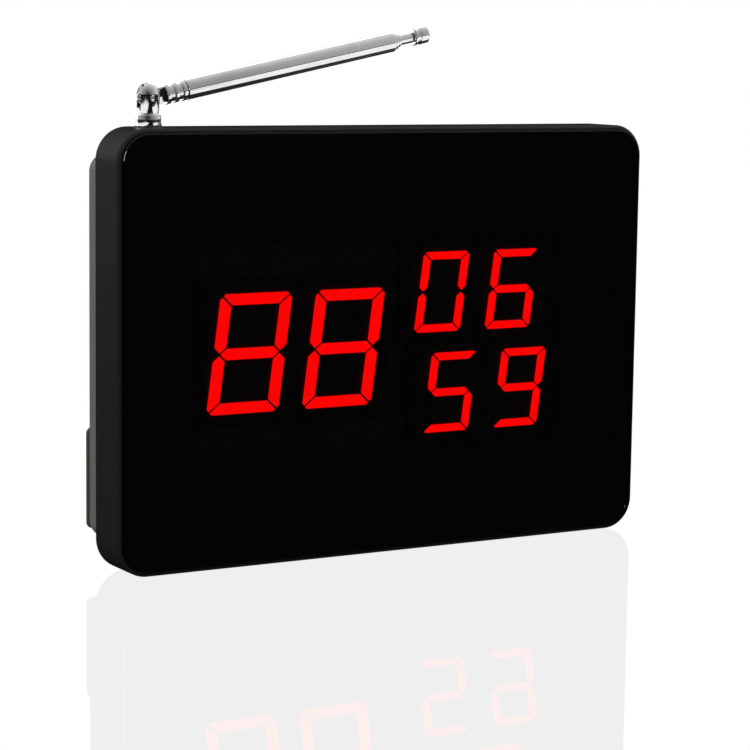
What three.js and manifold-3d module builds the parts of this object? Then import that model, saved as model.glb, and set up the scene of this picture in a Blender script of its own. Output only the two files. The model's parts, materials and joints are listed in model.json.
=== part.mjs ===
// A call-display receiver: a shallow black case with a glossy smoked front, six red seven-segment
// digits behind it and a telescopic antenna on top. Millimetres, +X to the right, +Y to the back, +Z up.
// The origin is the middle of the flat that the case stands on.
import * as THREE from "three";
import { mergeVertices } from "three/addons/utils/BufferGeometryUtils.js";
import Module from "manifold-3d";

const wasm = await Module();
wasm.setup();

// Driving dimensions.
const gap = 0.3; // between pieces that touch on the real object
const housing = { width: 281, height: 200, depth: 24.6, wall: 2.5, frontWall: 2.2, corner: 15, edge: 2.5 };
const panel = { inset: 2, thickness: 3, proud: 1, corner: 13, edge: 0.8 };
const tape = { thickness: 0.6, width: 9 };
const cover = {
  sideInset: 3, endInset: 12.5, depth: 15.4, wall: 2.5, corner: 8, edge: 2.5, lip: 2, sunk: 0.5, slip: 0.4,
};
const coverPost = { radius: 5, inset: 8, headSeat: 4 };
const coverScrew = { headRadius: 2.9, headHeight: 2, radius: 1.5, bossRadius: 4, bossFloor: 1, tipRoom: 1.4 };
const slantAngle = 7.5;
const bigDigit = {
  width: 36.4, height: 54.6, stroke: 5.7, bar: 5.1, cut: 1, corner: 2.6, caseWidth: 48.2,
  caseHeight: 68, pitch: 49, x: -49.8, z: -1.8,
};
const smallDigit = {
  width: 25.2, height: 37.9, stroke: 4, bar: 3.6, cut: 0.8, corner: 1.8, caseWidth: 38.4,
  caseHeight: 47.2, pitch: 39.5, x: 47.5, rowPitch: 48, rowShift: 5.4,
};
const digitDepth = 10.8;
const digitMargin = 2; // between the digits' cases and the aperture they stand in
const segmentRelief = { raised: 0.6, backing: 0.6 };
const displayBoard = { thickness: 1.6, sideMargin: 17, endMargin: 2, screwInset: 5 };
const boardScrew = { headRadius: 2.2, headHeight: 1.6, radius: 1.1, length: 7, bossRadius: 3.2 };
const controlBoard = {
  thickness: 1.6, standoff: 8.1, left: 19, right: 11.5, bottom: 5, height: 48, screwInset: 6, screwRise: 18,
};
const jack = { length: 14, width: 9, height: 7.6, bore: 2.8, pin: 0.9, wallHole: 4.2, z: 38, recess: 1.2 };
const keyPlate = { inset: 0.2, thickness: 2.6, bottom: 16, height: 47, corner: 3, edge: 0.6 };
const keys = {
  width: 9, height: 6, corner: 1.5, edge: 0.5, sunk: 0.4, flange: 1.5, flangeThickness: 1.2,
  stemRadius: 1.8, travel: 0.6, pitch: 22, x: -48, z: 20,
};
const tactSwitch = { side: 6.2, height: 3.3, plungerRadius: 1.7, plungerHeight: 0.4 };
const speaker = { radius: 25, x: 55, z: 28, rim: 3, depth: 11, magnetRadius: 11, gasket: 1 };
const grille = { slots: 7, pitch: 5.4, width: 2.4, radius: 20 };
const vents = { slots: 8, pitch: 7, width: 2.2, height: 22, x: -45, z: 20 };
const hangers = { spacing: 180, fromTop: 35, headRadius: 4.3, slotWidth: 4.4, rise: 8 };
const antenna = { fromSide: 20.7, pivotHeight: 12.8, restTilt: 11.75 };
const bushing = { collarRadius: 6, collarHeight: 5.6, neckShare: 0.56, neckLength: 9.5, wall: 0.8 };
const antennaNut = { slack: 2, thickness: 2.6 }; // slack to the walls in front of it and behind it
const antennaLug = { thickness: 0.6, reach: 9.5, width: 3.2, eye: 7.6 };
const stud = { radius: 5.1, top: 19.7, shaftSlack: 0.4, slotWidth: 4, flare: 1, flareHeight: 1.2 };
const hingePin = { radius: 1.1, holeRadius: 1.4 };
const knuckle = {
  thickness: 3.4, height: 7.2, ferruleStart: 7.6, ferruleEnd: 17.8, plugLength: 5,
  ringRadius: 4.7, grooveRadius: 3.9,
};
const tubeWall = 0.5;
const tubeSlip = 0.25;
const mainTube = { radius: 4.8, start: 18.2, end: 127.2 };
const tubeStep = 1.8;
const neckLength = 5.5;
const cap = { radius: 4.1, length: 7.8, grooveRadius: 3.5 };
const leadRadius = 0.8;

// Places that follow from the sizes above.
const middle = housing.height / 2;
const housingFront = -housing.depth / 2;
const housingBack = housing.depth / 2;
const panelFront = housingFront - panel.proud;
const panelBack = panelFront + panel.thickness;
const recessFloor = panelBack + gap + tape.thickness + gap;
const frontWallBack = recessFloor + housing.frontWall;
const digitFace = panelBack + gap;
const digitBack = digitFace + digitDepth;
const displayFront = digitBack + gap;
const displayBack = displayFront + displayBoard.thickness;
const coverBack = housingBack + cover.depth;
const coverInner = coverBack - cover.wall;
const plateFront = coverBack + gap;
const plateBack = plateFront + keyPlate.thickness;
const lipBack = housingBack - cover.sunk;
const lipFront = lipBack - cover.lip;
const controlBack = coverInner - controlBoard.standoff - gap;
const controlFront = controlBack - controlBoard.thickness;
const trayWidth = housing.width - 2 * cover.sideInset;
const trayHeight = housing.height - 2 * cover.endInset;
const trayInnerHalf = trayWidth / 2 - cover.wall;
const trayInnerBottom = cover.endInset + cover.wall;
const controlLeft = controlBoard.left - trayInnerHalf;
const controlRight = trayInnerHalf - controlBoard.right;
const controlBottom = trayInnerBottom + controlBoard.bottom;
const controlTop = controlBottom + controlBoard.height;
const digitsZ = middle + bigDigit.z;
const apertureHalfWidth = bigDigit.pitch / 2 - bigDigit.x + bigDigit.caseWidth / 2 + digitMargin;
const apertureHalfHeight = (smallDigit.rowPitch + smallDigit.caseHeight) / 2 + digitMargin;
const displayHalfWidth = apertureHalfWidth + displayBoard.sideMargin;
const displayHalfHeight = apertureHalfHeight + displayBoard.endMargin;
const screwSeat = lipFront + coverPost.headSeat;
const screwTip = frontWallBack + coverScrew.bossFloor + coverScrew.tipRoom;
// The mast's nut fills the room between the front wall and the cover's lip, and sizes its neck and stud.
const antennaX = antenna.fromSide - housing.width / 2;
const antennaY = (frontWallBack + lipFront) / 2;
const nutRadius = (lipFront - frontWallBack) / 2 - antennaNut.slack;
const neckRadius = nutRadius * bushing.neckShare;
const boreRadius = neckRadius - bushing.wall;
const shaftRadius = boreRadius - stud.shaftSlack;
const pivotZ = housing.height + antenna.pivotHeight;

const paint = (color, roughness, metalness = 0) =>
  new THREE.MeshStandardMaterial({ color, roughness, metalness });
const materials = {
  blackPlastic: paint(0x15150f, 0.45),
  greyPlastic: paint(0x3a3835, 0.6),
  darkPlastic: paint(0x2a2a28, 0.55),
  smokedPanel: paint(0x050505, 0.08),
  tapeFoam: paint(0x101010, 0.9),
  digitCase: paint(0x0c0c0c, 0.5),
  redSegment: paint(0xff0000, 0.4),
  circuitBoard: paint(0x14502a, 0.5),
  screwSteel: paint(0x8c8c8c, 0.35, 1),
  chromePlate: paint(0xe6e6e6, 0.08, 1),
  brassMetal: paint(0xc79a4b, 0.3, 1),
  componentBlack: paint(0x1b1b1b, 0.5),
  rubberKey: paint(0x8f8d88, 0.7),
  pulpCone: paint(0x23211f, 0.95),
  leadSleeve: paint(0x1a1a1a, 0.6),
};

// A closed geometry as a solid that can be joined and cut.
function solid(geometry) {
  const bare = geometry.index ? geometry.toNonIndexed() : geometry.clone();
  bare.deleteAttribute("normal");
  bare.deleteAttribute("uv");
  const merged = mergeVertices(bare, 1e-4);
  return new wasm.Manifold(
    new wasm.Mesh({
      numProp: 3,
      vertProperties: merged.attributes.position.array,
      triVerts: new Uint32Array(merged.index.array),
    }),
  );
}

function geometryOf(shape) {
  const mesh = shape.getMesh();
  const geometry = new THREE.BufferGeometry();
  geometry.setAttribute("position", new THREE.BufferAttribute(new Float32Array(mesh.vertProperties), 3));
  geometry.setIndex(new THREE.BufferAttribute(new Uint32Array(mesh.triVerts), 1));
  geometry.computeVertexNormals();
  return geometry;
}

function piece(name, shape, material) {
  const mesh = new THREE.Mesh(shape.isBufferGeometry ? shape : geometryOf(shape), material);
  mesh.name = name;
  return mesh;
}

const joined = (...geometries) => geometries.map(solid).reduce((whole, part) => whole.add(part));
const cutFrom = (body, ...geometries) =>
  geometries.reduce((whole, part) => whole.subtract(solid(part)), body);

function roundedOutline(width, height, radius) {
  const right = width / 2;
  const top = height / 2;
  const outline = new THREE.Shape();
  outline.moveTo(right, radius - top);
  outline.absarc(right - radius, top - radius, radius, 0, Math.PI / 2);
  outline.absarc(radius - right, top - radius, radius, Math.PI / 2, Math.PI);
  outline.absarc(radius - right, radius - top, radius, Math.PI, 1.5 * Math.PI);
  outline.absarc(right - radius, radius - top, radius, 1.5 * Math.PI, 2 * Math.PI);
  return outline;
}

// An outline in the XZ plane, thickened from yFront to yBack, with both rims rounded by edge.
function slabOf(outline, { x = 0, z = 0, yFront, yBack, edge = 0, curveSegments = 4 }) {
  const geometry = new THREE.ExtrudeGeometry(outline, {
    depth: yBack - yFront - 2 * edge,
    bevelEnabled: edge > 0,
    bevelThickness: edge,
    bevelSize: edge,
    bevelOffset: -edge,
    bevelSegments: 2,
    curveSegments,
  });
  return geometry.rotateX(Math.PI / 2).translate(x, yBack - edge, z);
}

const slab = ({ width, height, radius, ...place }) => slabOf(roundedOutline(width, height, radius), place);

function block(x0, x1, y0, y1, z0, z1) {
  const geometry = new THREE.BoxGeometry(x1 - x0, y1 - y0, z1 - z0);
  return geometry.translate((x0 + x1) / 2, (y0 + y1) / 2, (z0 + z1) / 2);
}

// A round bar along one axis, from one place on that axis to another.
function bar(axis, radius, from, to, [x, y, z], sides = 16) {
  const geometry = new THREE.CylinderGeometry(radius, radius, to - from, sides);
  geometry.translate(0, (from + to) / 2, 0);
  if (axis === "x") geometry.rotateZ(-Math.PI / 2);
  if (axis === "z") geometry.rotateX(Math.PI / 2);
  return geometry.translate(x, y, z);
}

// A turned shape from [radius, height] pairs, standing along +Y.
function turned(profile, sides = 20) {
  const points = profile.map(([radius, height]) => new THREE.Vector2(radius, height));
  return new THREE.LatheGeometry(points, sides);
}

const corners = (halfWidth, low, high) => [
  [-halfWidth, low],
  [halfWidth, low],
  [halfWidth, high],
  [-halfWidth, high],
];

// The front case: a tray open at the back, with a recess for the panel and an aperture for the digits.
function frontHousing() {
  const { width, height, wall, corner, edge } = housing;
  const outer = solid(slab({
    width, height, radius: corner, z: middle, yFront: housingFront, yBack: housingBack + 2 * edge, edge,
  }));
  const margin = width + height;
  const shell = cutFrom(
    outer,
    block(-margin, margin, housingBack, housingBack + margin, -margin, margin),
    slab({
      width: width - 2 * wall, height: height - 2 * wall, radius: corner - wall, z: middle,
      yFront: frontWallBack, yBack: housingBack + 1,
    }),
    slab({
      width: width - 2 * (panel.inset - gap), height: height - 2 * (panel.inset - gap),
      radius: panel.corner + gap, z: middle, yFront: housingFront - 1, yBack: recessFloor,
    }),
    block(
      -apertureHalfWidth, apertureHalfWidth, housingFront, frontWallBack + 1,
      digitsZ - apertureHalfHeight, digitsZ + apertureHalfHeight,
    ),
    bar("z", neckRadius + gap, height - wall - 1, height + 1, [antennaX, antennaY, 0]),
  );
  const withBosses = coverPostPlaces().reduce((body, [x, z]) => {
    const boss = bar("y", coverScrew.bossRadius, frontWallBack - 1, lipFront - gap, [x, 0, z]);
    return body.add(solid(boss));
  }, shell);
  const withDisplayBosses = displayScrewPlaces().reduce((body, [x, z]) => {
    const boss = bar("y", boardScrew.bossRadius, frontWallBack - 1, displayFront - gap, [x, 0, z]);
    return body.add(solid(boss));
  }, withBosses);
  const screwHoles = coverPostPlaces().map(([x, z]) =>
    bar("y", coverScrew.radius + gap, frontWallBack + coverScrew.bossFloor, housingBack, [x, 0, z]),
  );
  const displayHoles = displayScrewPlaces().map(([x, z]) =>
    bar("y", boardScrew.radius + gap, frontWallBack + 0.5, displayFront, [x, 0, z]),
  );
  return cutFrom(withDisplayBosses, ...screwHoles, ...displayHoles);
}

const coverPostPlaces = () =>
  corners(trayWidth / 2 - coverPost.inset, cover.endInset + coverPost.inset,
    housing.height - cover.endInset - coverPost.inset);

const displayScrewPlaces = () => [-1, 1].map((side) => [
  side * (displayHalfWidth - displayBoard.screwInset),
  digitsZ,
]);

const controlScrewPlaces = () => {
  const x0 = controlLeft + controlBoard.screwInset;
  const x1 = controlRight - controlBoard.screwInset;
  const z0 = controlBottom + controlBoard.screwInset;
  const z1 = z0 + controlBoard.screwRise;
  return [[x0, z0], [x1, z0], [x1, z1], [x0, z1]];
};

const smokedPanel = () => slab({
  width: housing.width - 2 * panel.inset, height: housing.height - 2 * panel.inset,
  radius: panel.corner, z: middle, yFront: panelFront, yBack: panelBack, edge: panel.edge,
});

function panelTape() {
  const width = housing.width - 2 * panel.inset - 2;
  const height = housing.height - 2 * panel.inset - 2;
  const radius = panel.corner - 1;
  const yFront = panelBack + gap;
  const yBack = yFront + tape.thickness;
  const outer = solid(slab({ width, height, radius, z: middle, yFront, yBack }));
  return cutFrom(outer, slab({
    width: width - 2 * tape.width, height: height - 2 * tape.width, radius: 2, z: middle,
    yFront: yFront - 1, yBack: yBack + 1,
  }));
}

const keyPlaces = () => [0, 1, 2, 3].map((step) => [keys.x + step * keys.pitch, controlBottom + keys.z]);

// The back cover: a lip that closes the front case and a raised tray with the grille, keys and hangers.
function rearCover() {
  const trayShape = { width: trayWidth, height: trayHeight, radius: cover.corner, z: middle };
  const margin = housing.width + housing.height;
  const tray = cutFrom(
    solid(slab({ ...trayShape, yFront: lipFront - 2 * cover.edge, yBack: coverBack, edge: cover.edge })),
    block(-margin, margin, -margin, lipFront, -margin, margin),
  );
  const lipInset = 2 * (housing.wall + cover.slip);
  const lip = solid(slab({
    width: housing.width - lipInset, height: housing.height - lipInset,
    radius: housing.corner - housing.wall - cover.slip, z: middle, yFront: lipFront, yBack: lipBack,
  }));
  const hollow = slab({
    width: trayWidth - 2 * cover.wall, height: trayHeight - 2 * cover.wall,
    radius: cover.corner - cover.wall, z: middle, yFront: lipFront - 1, yBack: coverInner,
  });
  let body = cutFrom(tray.add(lip), hollow);
  for (const [x, z] of coverPostPlaces())
    body = body.add(solid(bar("y", coverPost.radius, lipFront, coverInner + 1, [x, 0, z])));
  for (const [x, z] of controlScrewPlaces())
    body = body.add(solid(bar("y", boardScrew.bossRadius, controlBack + gap, coverInner + 1, [x, 0, z])));
  const cuts = [coverScrewCuts(), keyCuts(), grilleCuts(), ventCuts(), hangerCuts(), jackCut()];
  return cutFrom(body, ...cuts.flat());
}

function coverScrewCuts() {
  const heads = coverPostPlaces().map(([x, z]) =>
    bar("y", coverScrew.headRadius + gap, screwSeat, coverBack + 1, [x, 0, z]));
  const holes = coverPostPlaces().map(([x, z]) =>
    bar("y", coverScrew.radius + gap, lipFront - 1, screwSeat + 1, [x, 0, z]));
  const boardHoles = controlScrewPlaces().map(([x, z]) =>
    bar("y", boardScrew.radius + gap, controlBack, controlBack + boardScrew.length, [x, 0, z]));
  return [...heads, ...holes, ...boardHoles];
}

const keyCuts = (yFront = coverInner - 1, yBack = coverBack + 1) => keyPlaces().map(([x, z]) => slab({
  width: keys.width + 2 * gap, height: keys.height + 2 * gap, radius: keys.corner + gap,
  x, z, yFront, yBack, curveSegments: 2,
}));

// The dark plate on the back that the keys sit in. The two lower cover screws are reached through it.
const keyPlateSolid = () => cutFrom(
  solid(slab({
    width: trayWidth - 2 * keyPlate.inset, height: keyPlate.height, radius: keyPlate.corner,
    z: keyPlate.bottom + keyPlate.height / 2, yFront: plateFront, yBack: plateBack, edge: keyPlate.edge,
  })),
  ...keyCuts(plateFront - 1, plateBack + 1),
  ...coverPostPlaces().map(([x, z]) =>
    bar("y", coverScrew.headRadius + gap, plateFront - 1, plateBack + 1, [x, 0, z])),
);

const speakerZ = middle + speaker.z;

function grilleCuts() {
  return Array.from({ length: grille.slots }, (_, index) => {
    const rise = (index - (grille.slots - 1) / 2) * grille.pitch;
    const width = 2 * Math.sqrt(grille.radius ** 2 - rise ** 2);
    return slab({
      width, height: grille.width, radius: grille.width / 2 - 0.01, x: speaker.x, z: speakerZ + rise,
      yFront: coverInner - 1, yBack: coverBack + 1, curveSegments: 1,
    });
  });
}

function ventCuts() {
  return Array.from({ length: vents.slots }, (_, index) => slab({
    width: vents.width, height: vents.height, radius: vents.width / 2 - 0.01,
    x: vents.x + (index - (vents.slots - 1) / 2) * vents.pitch, z: middle + vents.z,
    yFront: coverInner - 1, yBack: coverBack + 1, curveSegments: 1,
  }));
}

function hangerCuts() {
  const z = housing.height - hangers.fromTop;
  return [-1, 1].flatMap((side) => {
    const x = (side * hangers.spacing) / 2;
    return [
      bar("y", hangers.headRadius, coverInner - 1, coverBack + 1, [x, 0, z]),
      slab({
        width: hangers.slotWidth, height: hangers.rise + hangers.slotWidth,
        radius: hangers.slotWidth / 2 - 0.01, x, z: z + hangers.rise / 2,
        yFront: coverInner - 1, yBack: coverBack + 1, curveSegments: 3,
      }),
    ];
  });
}

const jackY = controlBack + gap + jack.height / 2;
const jackZ = controlBottom + jack.z;
const jackFace = trayInnerHalf - gap;
const jackCut = () => bar("x", jack.wallHole, trayInnerHalf - 1, trayWidth / 2 + 1, [0, jackY, jackZ]);

function screw({ headRadius, headHeight, radius, length }, seat, towardsBack, [x, z]) {
  const tip = towardsBack ? seat + length : seat - length;
  const top = towardsBack ? seat - headHeight : seat + headHeight;
  const head = bar("y", headRadius, Math.min(seat, top), Math.max(seat, top), [x, 0, z]);
  const shank = bar("y", radius, Math.min(seat, tip), Math.max(seat, tip), [x, 0, z], 12);
  const slotDepth = headHeight / 2;
  const slotTop = towardsBack ? top - 1 : top - slotDepth;
  const crossCut = [
    block(x - headRadius * 0.6, x + headRadius * 0.6, slotTop, slotTop + 1 + slotDepth, z - 0.4, z + 0.4),
    block(x - 0.4, x + 0.4, slotTop, slotTop + 1 + slotDepth, z - headRadius * 0.6, z + headRadius * 0.6),
  ];
  return cutFrom(joined(head, shank), ...crossCut);
}

// The seven strokes of a digit, each a polygon with mitred ends, leaning to the right. The digit's four
// corners are cut off, and its upright strokes end in points at the middle.
function segmentOutlines({ width, height, stroke, bar: thickness, cut, corner }) {
  const w = width / 2;
  const h = height / 2;
  const s = stroke;
  const t = thickness;
  const c = cut * Math.SQRT1_2;
  const lean = Math.tan((slantAngle * Math.PI) / 180);
  const k = corner;
  const top = [
    [k - w, h], [w - k, h], [w - (k + c) / 2, h - (k - c) / 2], [w - s - c, h - t],
    [s + c - w, h - t], [(k + c) / 2 - w, h - (k - c) / 2],
  ];
  const upperRight = [
    [w - (k - c) / 2, h - (k + c) / 2], [w, h - k], [w, t / 2 + c],
    [w - s / 2, c], [w - s, t / 2 + c], [w - s, h - t - c],
  ];
  const centre = [
    [-w + s / 2 + c, 0], [-w + s + c, t / 2], [w - s - c, t / 2],
    [w - s / 2 - c, 0], [w - s - c, -t / 2], [-w + s + c, -t / 2],
  ];
  const flipX = (points) => points.map(([x, z]) => [-x, z]).reverse();
  const flipZ = (points) => points.map(([x, z]) => [x, -z]).reverse();
  const all = [
    top, upperRight, flipZ(upperRight), flipZ(top), flipX(flipZ(upperRight)), flipX(upperRight), centre,
  ];
  return all.map((points) => new THREE.Shape(points.map(([x, z]) => new THREE.Vector2(x + z * lean, z))));
}

function segmentPiece(digit, x, z) {
  const reliefBack = digitFace + segmentRelief.raised;
  const backing = block(
    x - digit.caseWidth / 2 + 1, x + digit.caseWidth / 2 - 1, reliefBack, reliefBack + segmentRelief.backing,
    z - digit.caseHeight / 2 + 1, z + digit.caseHeight / 2 - 1,
  );
  const strokes = segmentOutlines(digit).map((outline) =>
    slabOf(outline, { x, z, yFront: digitFace, yBack: reliefBack + segmentRelief.backing / 2 }));
  return joined(backing, ...strokes);
}

function digitCase(digit, x, z) {
  const front = digitFace + segmentRelief.raised + segmentRelief.backing + gap;
  const wall = 1.5;
  const w = digit.caseWidth / 2;
  const h = digit.caseHeight / 2;
  return cutFrom(
    solid(block(x - w, x + w, front, digitBack, z - h, z + h)),
    block(x - w + wall, x + w - wall, front + 2 * wall, digitBack + 1, z - h + wall, z + h - wall),
  );
}

function digitPlaces() {
  const big = [0, 1].map((step) => [bigDigit.x + (step - 0.5) * bigDigit.pitch, digitsZ]);
  const small = [1, -1].flatMap((row) => [0, 1].map((step) => [
    smallDigit.x + (step - 0.5) * smallDigit.pitch + (row < 0 ? smallDigit.rowShift : 0),
    digitsZ + (row * smallDigit.rowPitch) / 2,
  ]));
  return { big, small };
}

function displayPieces() {
  const group = new THREE.Group();
  const { big, small } = digitPlaces();
  const add = (label, digit, places) => places.forEach(([x, z], index) => {
    group.add(piece(`${label}_digit_${index + 1}`, digitCase(digit, x, z), materials.digitCase));
    group.add(piece(`${label}_segments_${index + 1}`, segmentPiece(digit, x, z), materials.redSegment));
  });
  add("big", bigDigit, big);
  add("small", smallDigit, small);
  const board = cutFrom(
    solid(block(
      -displayHalfWidth, displayHalfWidth, displayFront, displayBack,
      digitsZ - displayHalfHeight, digitsZ + displayHalfHeight,
    )),
    ...displayScrewPlaces().map(([x, z]) =>
      bar("y", boardScrew.radius + gap, displayFront - 1, displayBack + 1, [x, 0, z])),
  );
  group.add(piece("display_board", board, materials.circuitBoard));
  displayScrewPlaces().forEach((place, index) => {
    const seat = displayBack + gap;
    const body = screw(boardScrew, seat, false, place);
    group.add(piece(`display_screw_${index + 1}`, body, materials.screwSteel));
  });
  return group;
}

// The control board and what is soldered to it.
function controlPieces() {
  const group = new THREE.Group();
  const board = cutFrom(
    solid(block(controlLeft, controlRight, controlFront, controlBack, controlBottom, controlTop)),
    ...controlScrewPlaces().map(([x, z]) =>
      bar("y", boardScrew.radius + gap, controlFront - 1, controlBack + 1, [x, 0, z])),
  );
  group.add(piece("control_board", board, materials.circuitBoard));
  controlScrewPlaces().forEach((place, index) => {
    const body = screw(boardScrew, controlFront - gap, true, place);
    group.add(piece(`board_screw_${index + 1}`, body, materials.screwSteel));
  });
  keyPlaces().forEach(([x, z], index) => {
    group.add(piece(`tact_switch_${index + 1}`, tactSwitchSolid(x, z), materials.componentBlack));
  });
  group.add(piece("board_header", headerBlock(), materials.componentBlack));
  group.add(piece("microcontroller", microcontrollerSolid(), materials.componentBlack));
  group.add(piece("reservoir_capacitor", capacitorSolid(), materials.componentBlack));
  group.add(piece("radio_module", radioSolid(), materials.circuitBoard));
  group.add(piece("dc_jack", jackSolid(), materials.componentBlack));
  group.add(piece("dc_jack_pin", jackPin(), materials.brassMetal));
  return group;
}

const onBack = controlBack + gap; // where parts stand on the back of the control board
const onFront = controlFront - gap; // and on its front

function tactSwitchSolid(x, z) {
  const half = tactSwitch.side / 2;
  const top = onBack + tactSwitch.height;
  return joined(
    block(x - half, x + half, onBack, top, z - half, z + half),
    bar("y", tactSwitch.plungerRadius, top - 1, top + tactSwitch.plungerHeight, [x, 0, z], 12),
  );
}

function headerBlock() {
  const z = controlTop - 5;
  return block(-12, 12, displayBack + gap, onFront, z - 2.5, z + 2.5);
}

function microcontrollerSolid() {
  const x = 40;
  const z = controlBottom + 16;
  return joined(
    block(x - 5, x + 5, onFront - 2.2, onFront - 0.2, z - 5, z + 5),
    block(x - 6.5, x + 6.5, onFront - 0.8, onFront, z - 4.3, z + 4.3),
    block(x - 4.3, x + 4.3, onFront - 0.8, onFront, z - 6.5, z + 6.5),
  );
}

const capacitorSolid = () => bar("y", 4, onBack, onBack + 6.8, [controlRight - 26, 0, controlBottom + 12]);

const radioPlace = () => [controlLeft + 32, controlTop - 11];

function radioSolid() {
  const [x, z] = radioPlace();
  const boardFace = onBack + 2.4;
  const pins = [-15, -12.5, 12.5, 15].map((step) =>
    block(x + step - 0.4, x + step + 0.4, onBack, boardFace + 0.5, z - 6.4, z - 5.6));
  return joined(
    block(x - 19, x + 19, boardFace, boardFace + 1, z - 8, z + 8),
    block(x - 6, x + 6, boardFace + 0.5, boardFace + 2.6, z - 4, z + 5),
    bar("x", 1.6, x + 9, x + 15, [0, boardFace + 2.2, z + 2], 12),
    ...pins,
  );
}

function jackSolid() {
  const half = jack.width / 2;
  return cutFrom(
    solid(block(jackFace - jack.length, jackFace, onBack, onBack + jack.height, jackZ - half, jackZ + half)),
    bar("x", jack.bore, jackFace - jack.length + 1.5, jackFace + 1, [0, jackY, jackZ]),
    bar("x", jack.pin + gap, jackFace - jack.length - 1, jackFace, [0, jackY, jackZ], 12),
  );
}

const jackPin = () =>
  bar("x", jack.pin, jackFace - jack.length, jackFace - jack.recess, [0, jackY, jackZ], 12);

const keyNames = ["key_function", "key_up", "key_down", "key_enter"];

function keySolid(x, z) {
  const { width, height, corner, edge, sunk, flange, travel, stemRadius } = keys;
  const flangeFront = coverInner - gap - keys.flangeThickness;
  const stemFront = onBack + tactSwitch.height + tactSwitch.plungerHeight + travel + gap;
  return joined(
    slab({
      width, height, radius: corner, edge, x, z,
      yFront: flangeFront, yBack: plateBack - sunk, curveSegments: 2,
    }),
    slab({
      width: width + 2 * flange, height: height + 2 * flange, radius: corner + flange,
      x, z, yFront: flangeFront, yBack: coverInner - gap, curveSegments: 2,
    }),
    bar("y", stemRadius, stemFront, flangeFront + 1, [x, 0, z], 12),
  );
}

function speakerPieces() {
  const group = new THREE.Group();
  const { radius, rim, depth, gasket, magnetRadius } = speaker;
  const seat = gap + gasket + gap; // heights below are measured from the cover's inner face
  const rimEnd = seat + 0.9;
  const basketEnd = depth - 3.6;
  const wall = 0.8;
  const plate = magnetRadius + 1;
  const coneRadius = radius - rim - 1.6;
  const basket = turned([
    [0, -basketEnd], [plate, -basketEnd], [radius - rim, -rimEnd], [radius, -rimEnd], [radius, -seat],
    [radius - rim, -seat], [plate - wall, wall - basketEnd], [0, wall - basketEnd],
  ], 24);
  const cone = turned([
    [0, 1.8 - basketEnd], [6, 1.8 - basketEnd], [coneRadius, -seat - 0.4], [coneRadius, -seat],
    [6, 2.4 - basketEnd], [4, 3.2 - basketEnd], [0, 3.8 - basketEnd],
  ], 24);
  const ring = cutFrom(
    solid(bar("y", radius, -gap - gasket, -gap, [0, 0, 0], 24)),
    bar("y", radius - rim, -gasket - 1, 1, [0, 0, 0], 24),
  );
  group.add(piece("speaker_basket", basket, materials.screwSteel));
  group.add(piece("speaker_magnet",
    bar("y", magnetRadius, -depth, -basketEnd - gap, [0, 0, 0]), materials.screwSteel));
  group.add(piece("speaker_cone", cone, materials.pulpCone));
  group.add(piece("speaker_gasket", ring, materials.tapeFoam));
  group.position.set(speaker.x, coverInner, speakerZ);
  return group;
}

// A soft insulated wire through the given points.
function lead(points) {
  const route = new THREE.CatmullRomCurve3(points.map(([x, y, z]) => new THREE.Vector3(x, y, z)));
  const section = new THREE.Shape().absarc(0, 0, leadRadius, 0, 2 * Math.PI);
  const steps = Math.round(route.getLength() / (3 * 2 * leadRadius));
  return new THREE.ExtrudeGeometry(section, {
    steps, extrudePath: route, curveSegments: 4, bevelEnabled: false,
  });
}

function antennaLead() {
  const lugBottom = housing.height - housing.wall - antennaNut.thickness - antennaLug.thickness - 2 * gap;
  const lugZ = lugBottom - 2 * gap - leadRadius;
  const [radioX, radioZ] = radioPlace();
  const wireY = onBack + 4.4;
  const x = antennaX;
  const eye = x + antennaLug.eye;
  return lead([
    [eye, antennaY, lugZ], [eye, antennaY + 1.6, lugZ - 6], [x + 5, housingBack - 1.5, lugZ - 17],
    [x - 2, controlBack + 0.4, lugZ - 32],
    [x - 5, wireY, lugZ - 55], [x - 5, wireY + 0.5, radioZ + 40], [x - 3, wireY, radioZ + 18],
    [radioX - 24, wireY, radioZ + 5], [radioX - 19.8, wireY - 0.6, radioZ + 1],
  ]);
}

function speakerLead() {
  const { x } = speaker;
  const z = speakerZ - speaker.radius - gap - leadRadius;
  const y = coverInner - 3.2;
  return lead([
    [x, y, z], [x + 3, y, z - 8], [x + 2, y - 0.5, z - 18],
    [x - 4, y - 1, (z + controlTop) / 2 - 8], [x - 6, onBack + 2.5, controlTop - 4],
    [x - 6, onBack + 0.9, controlTop - 9],
  ]);
}

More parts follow.
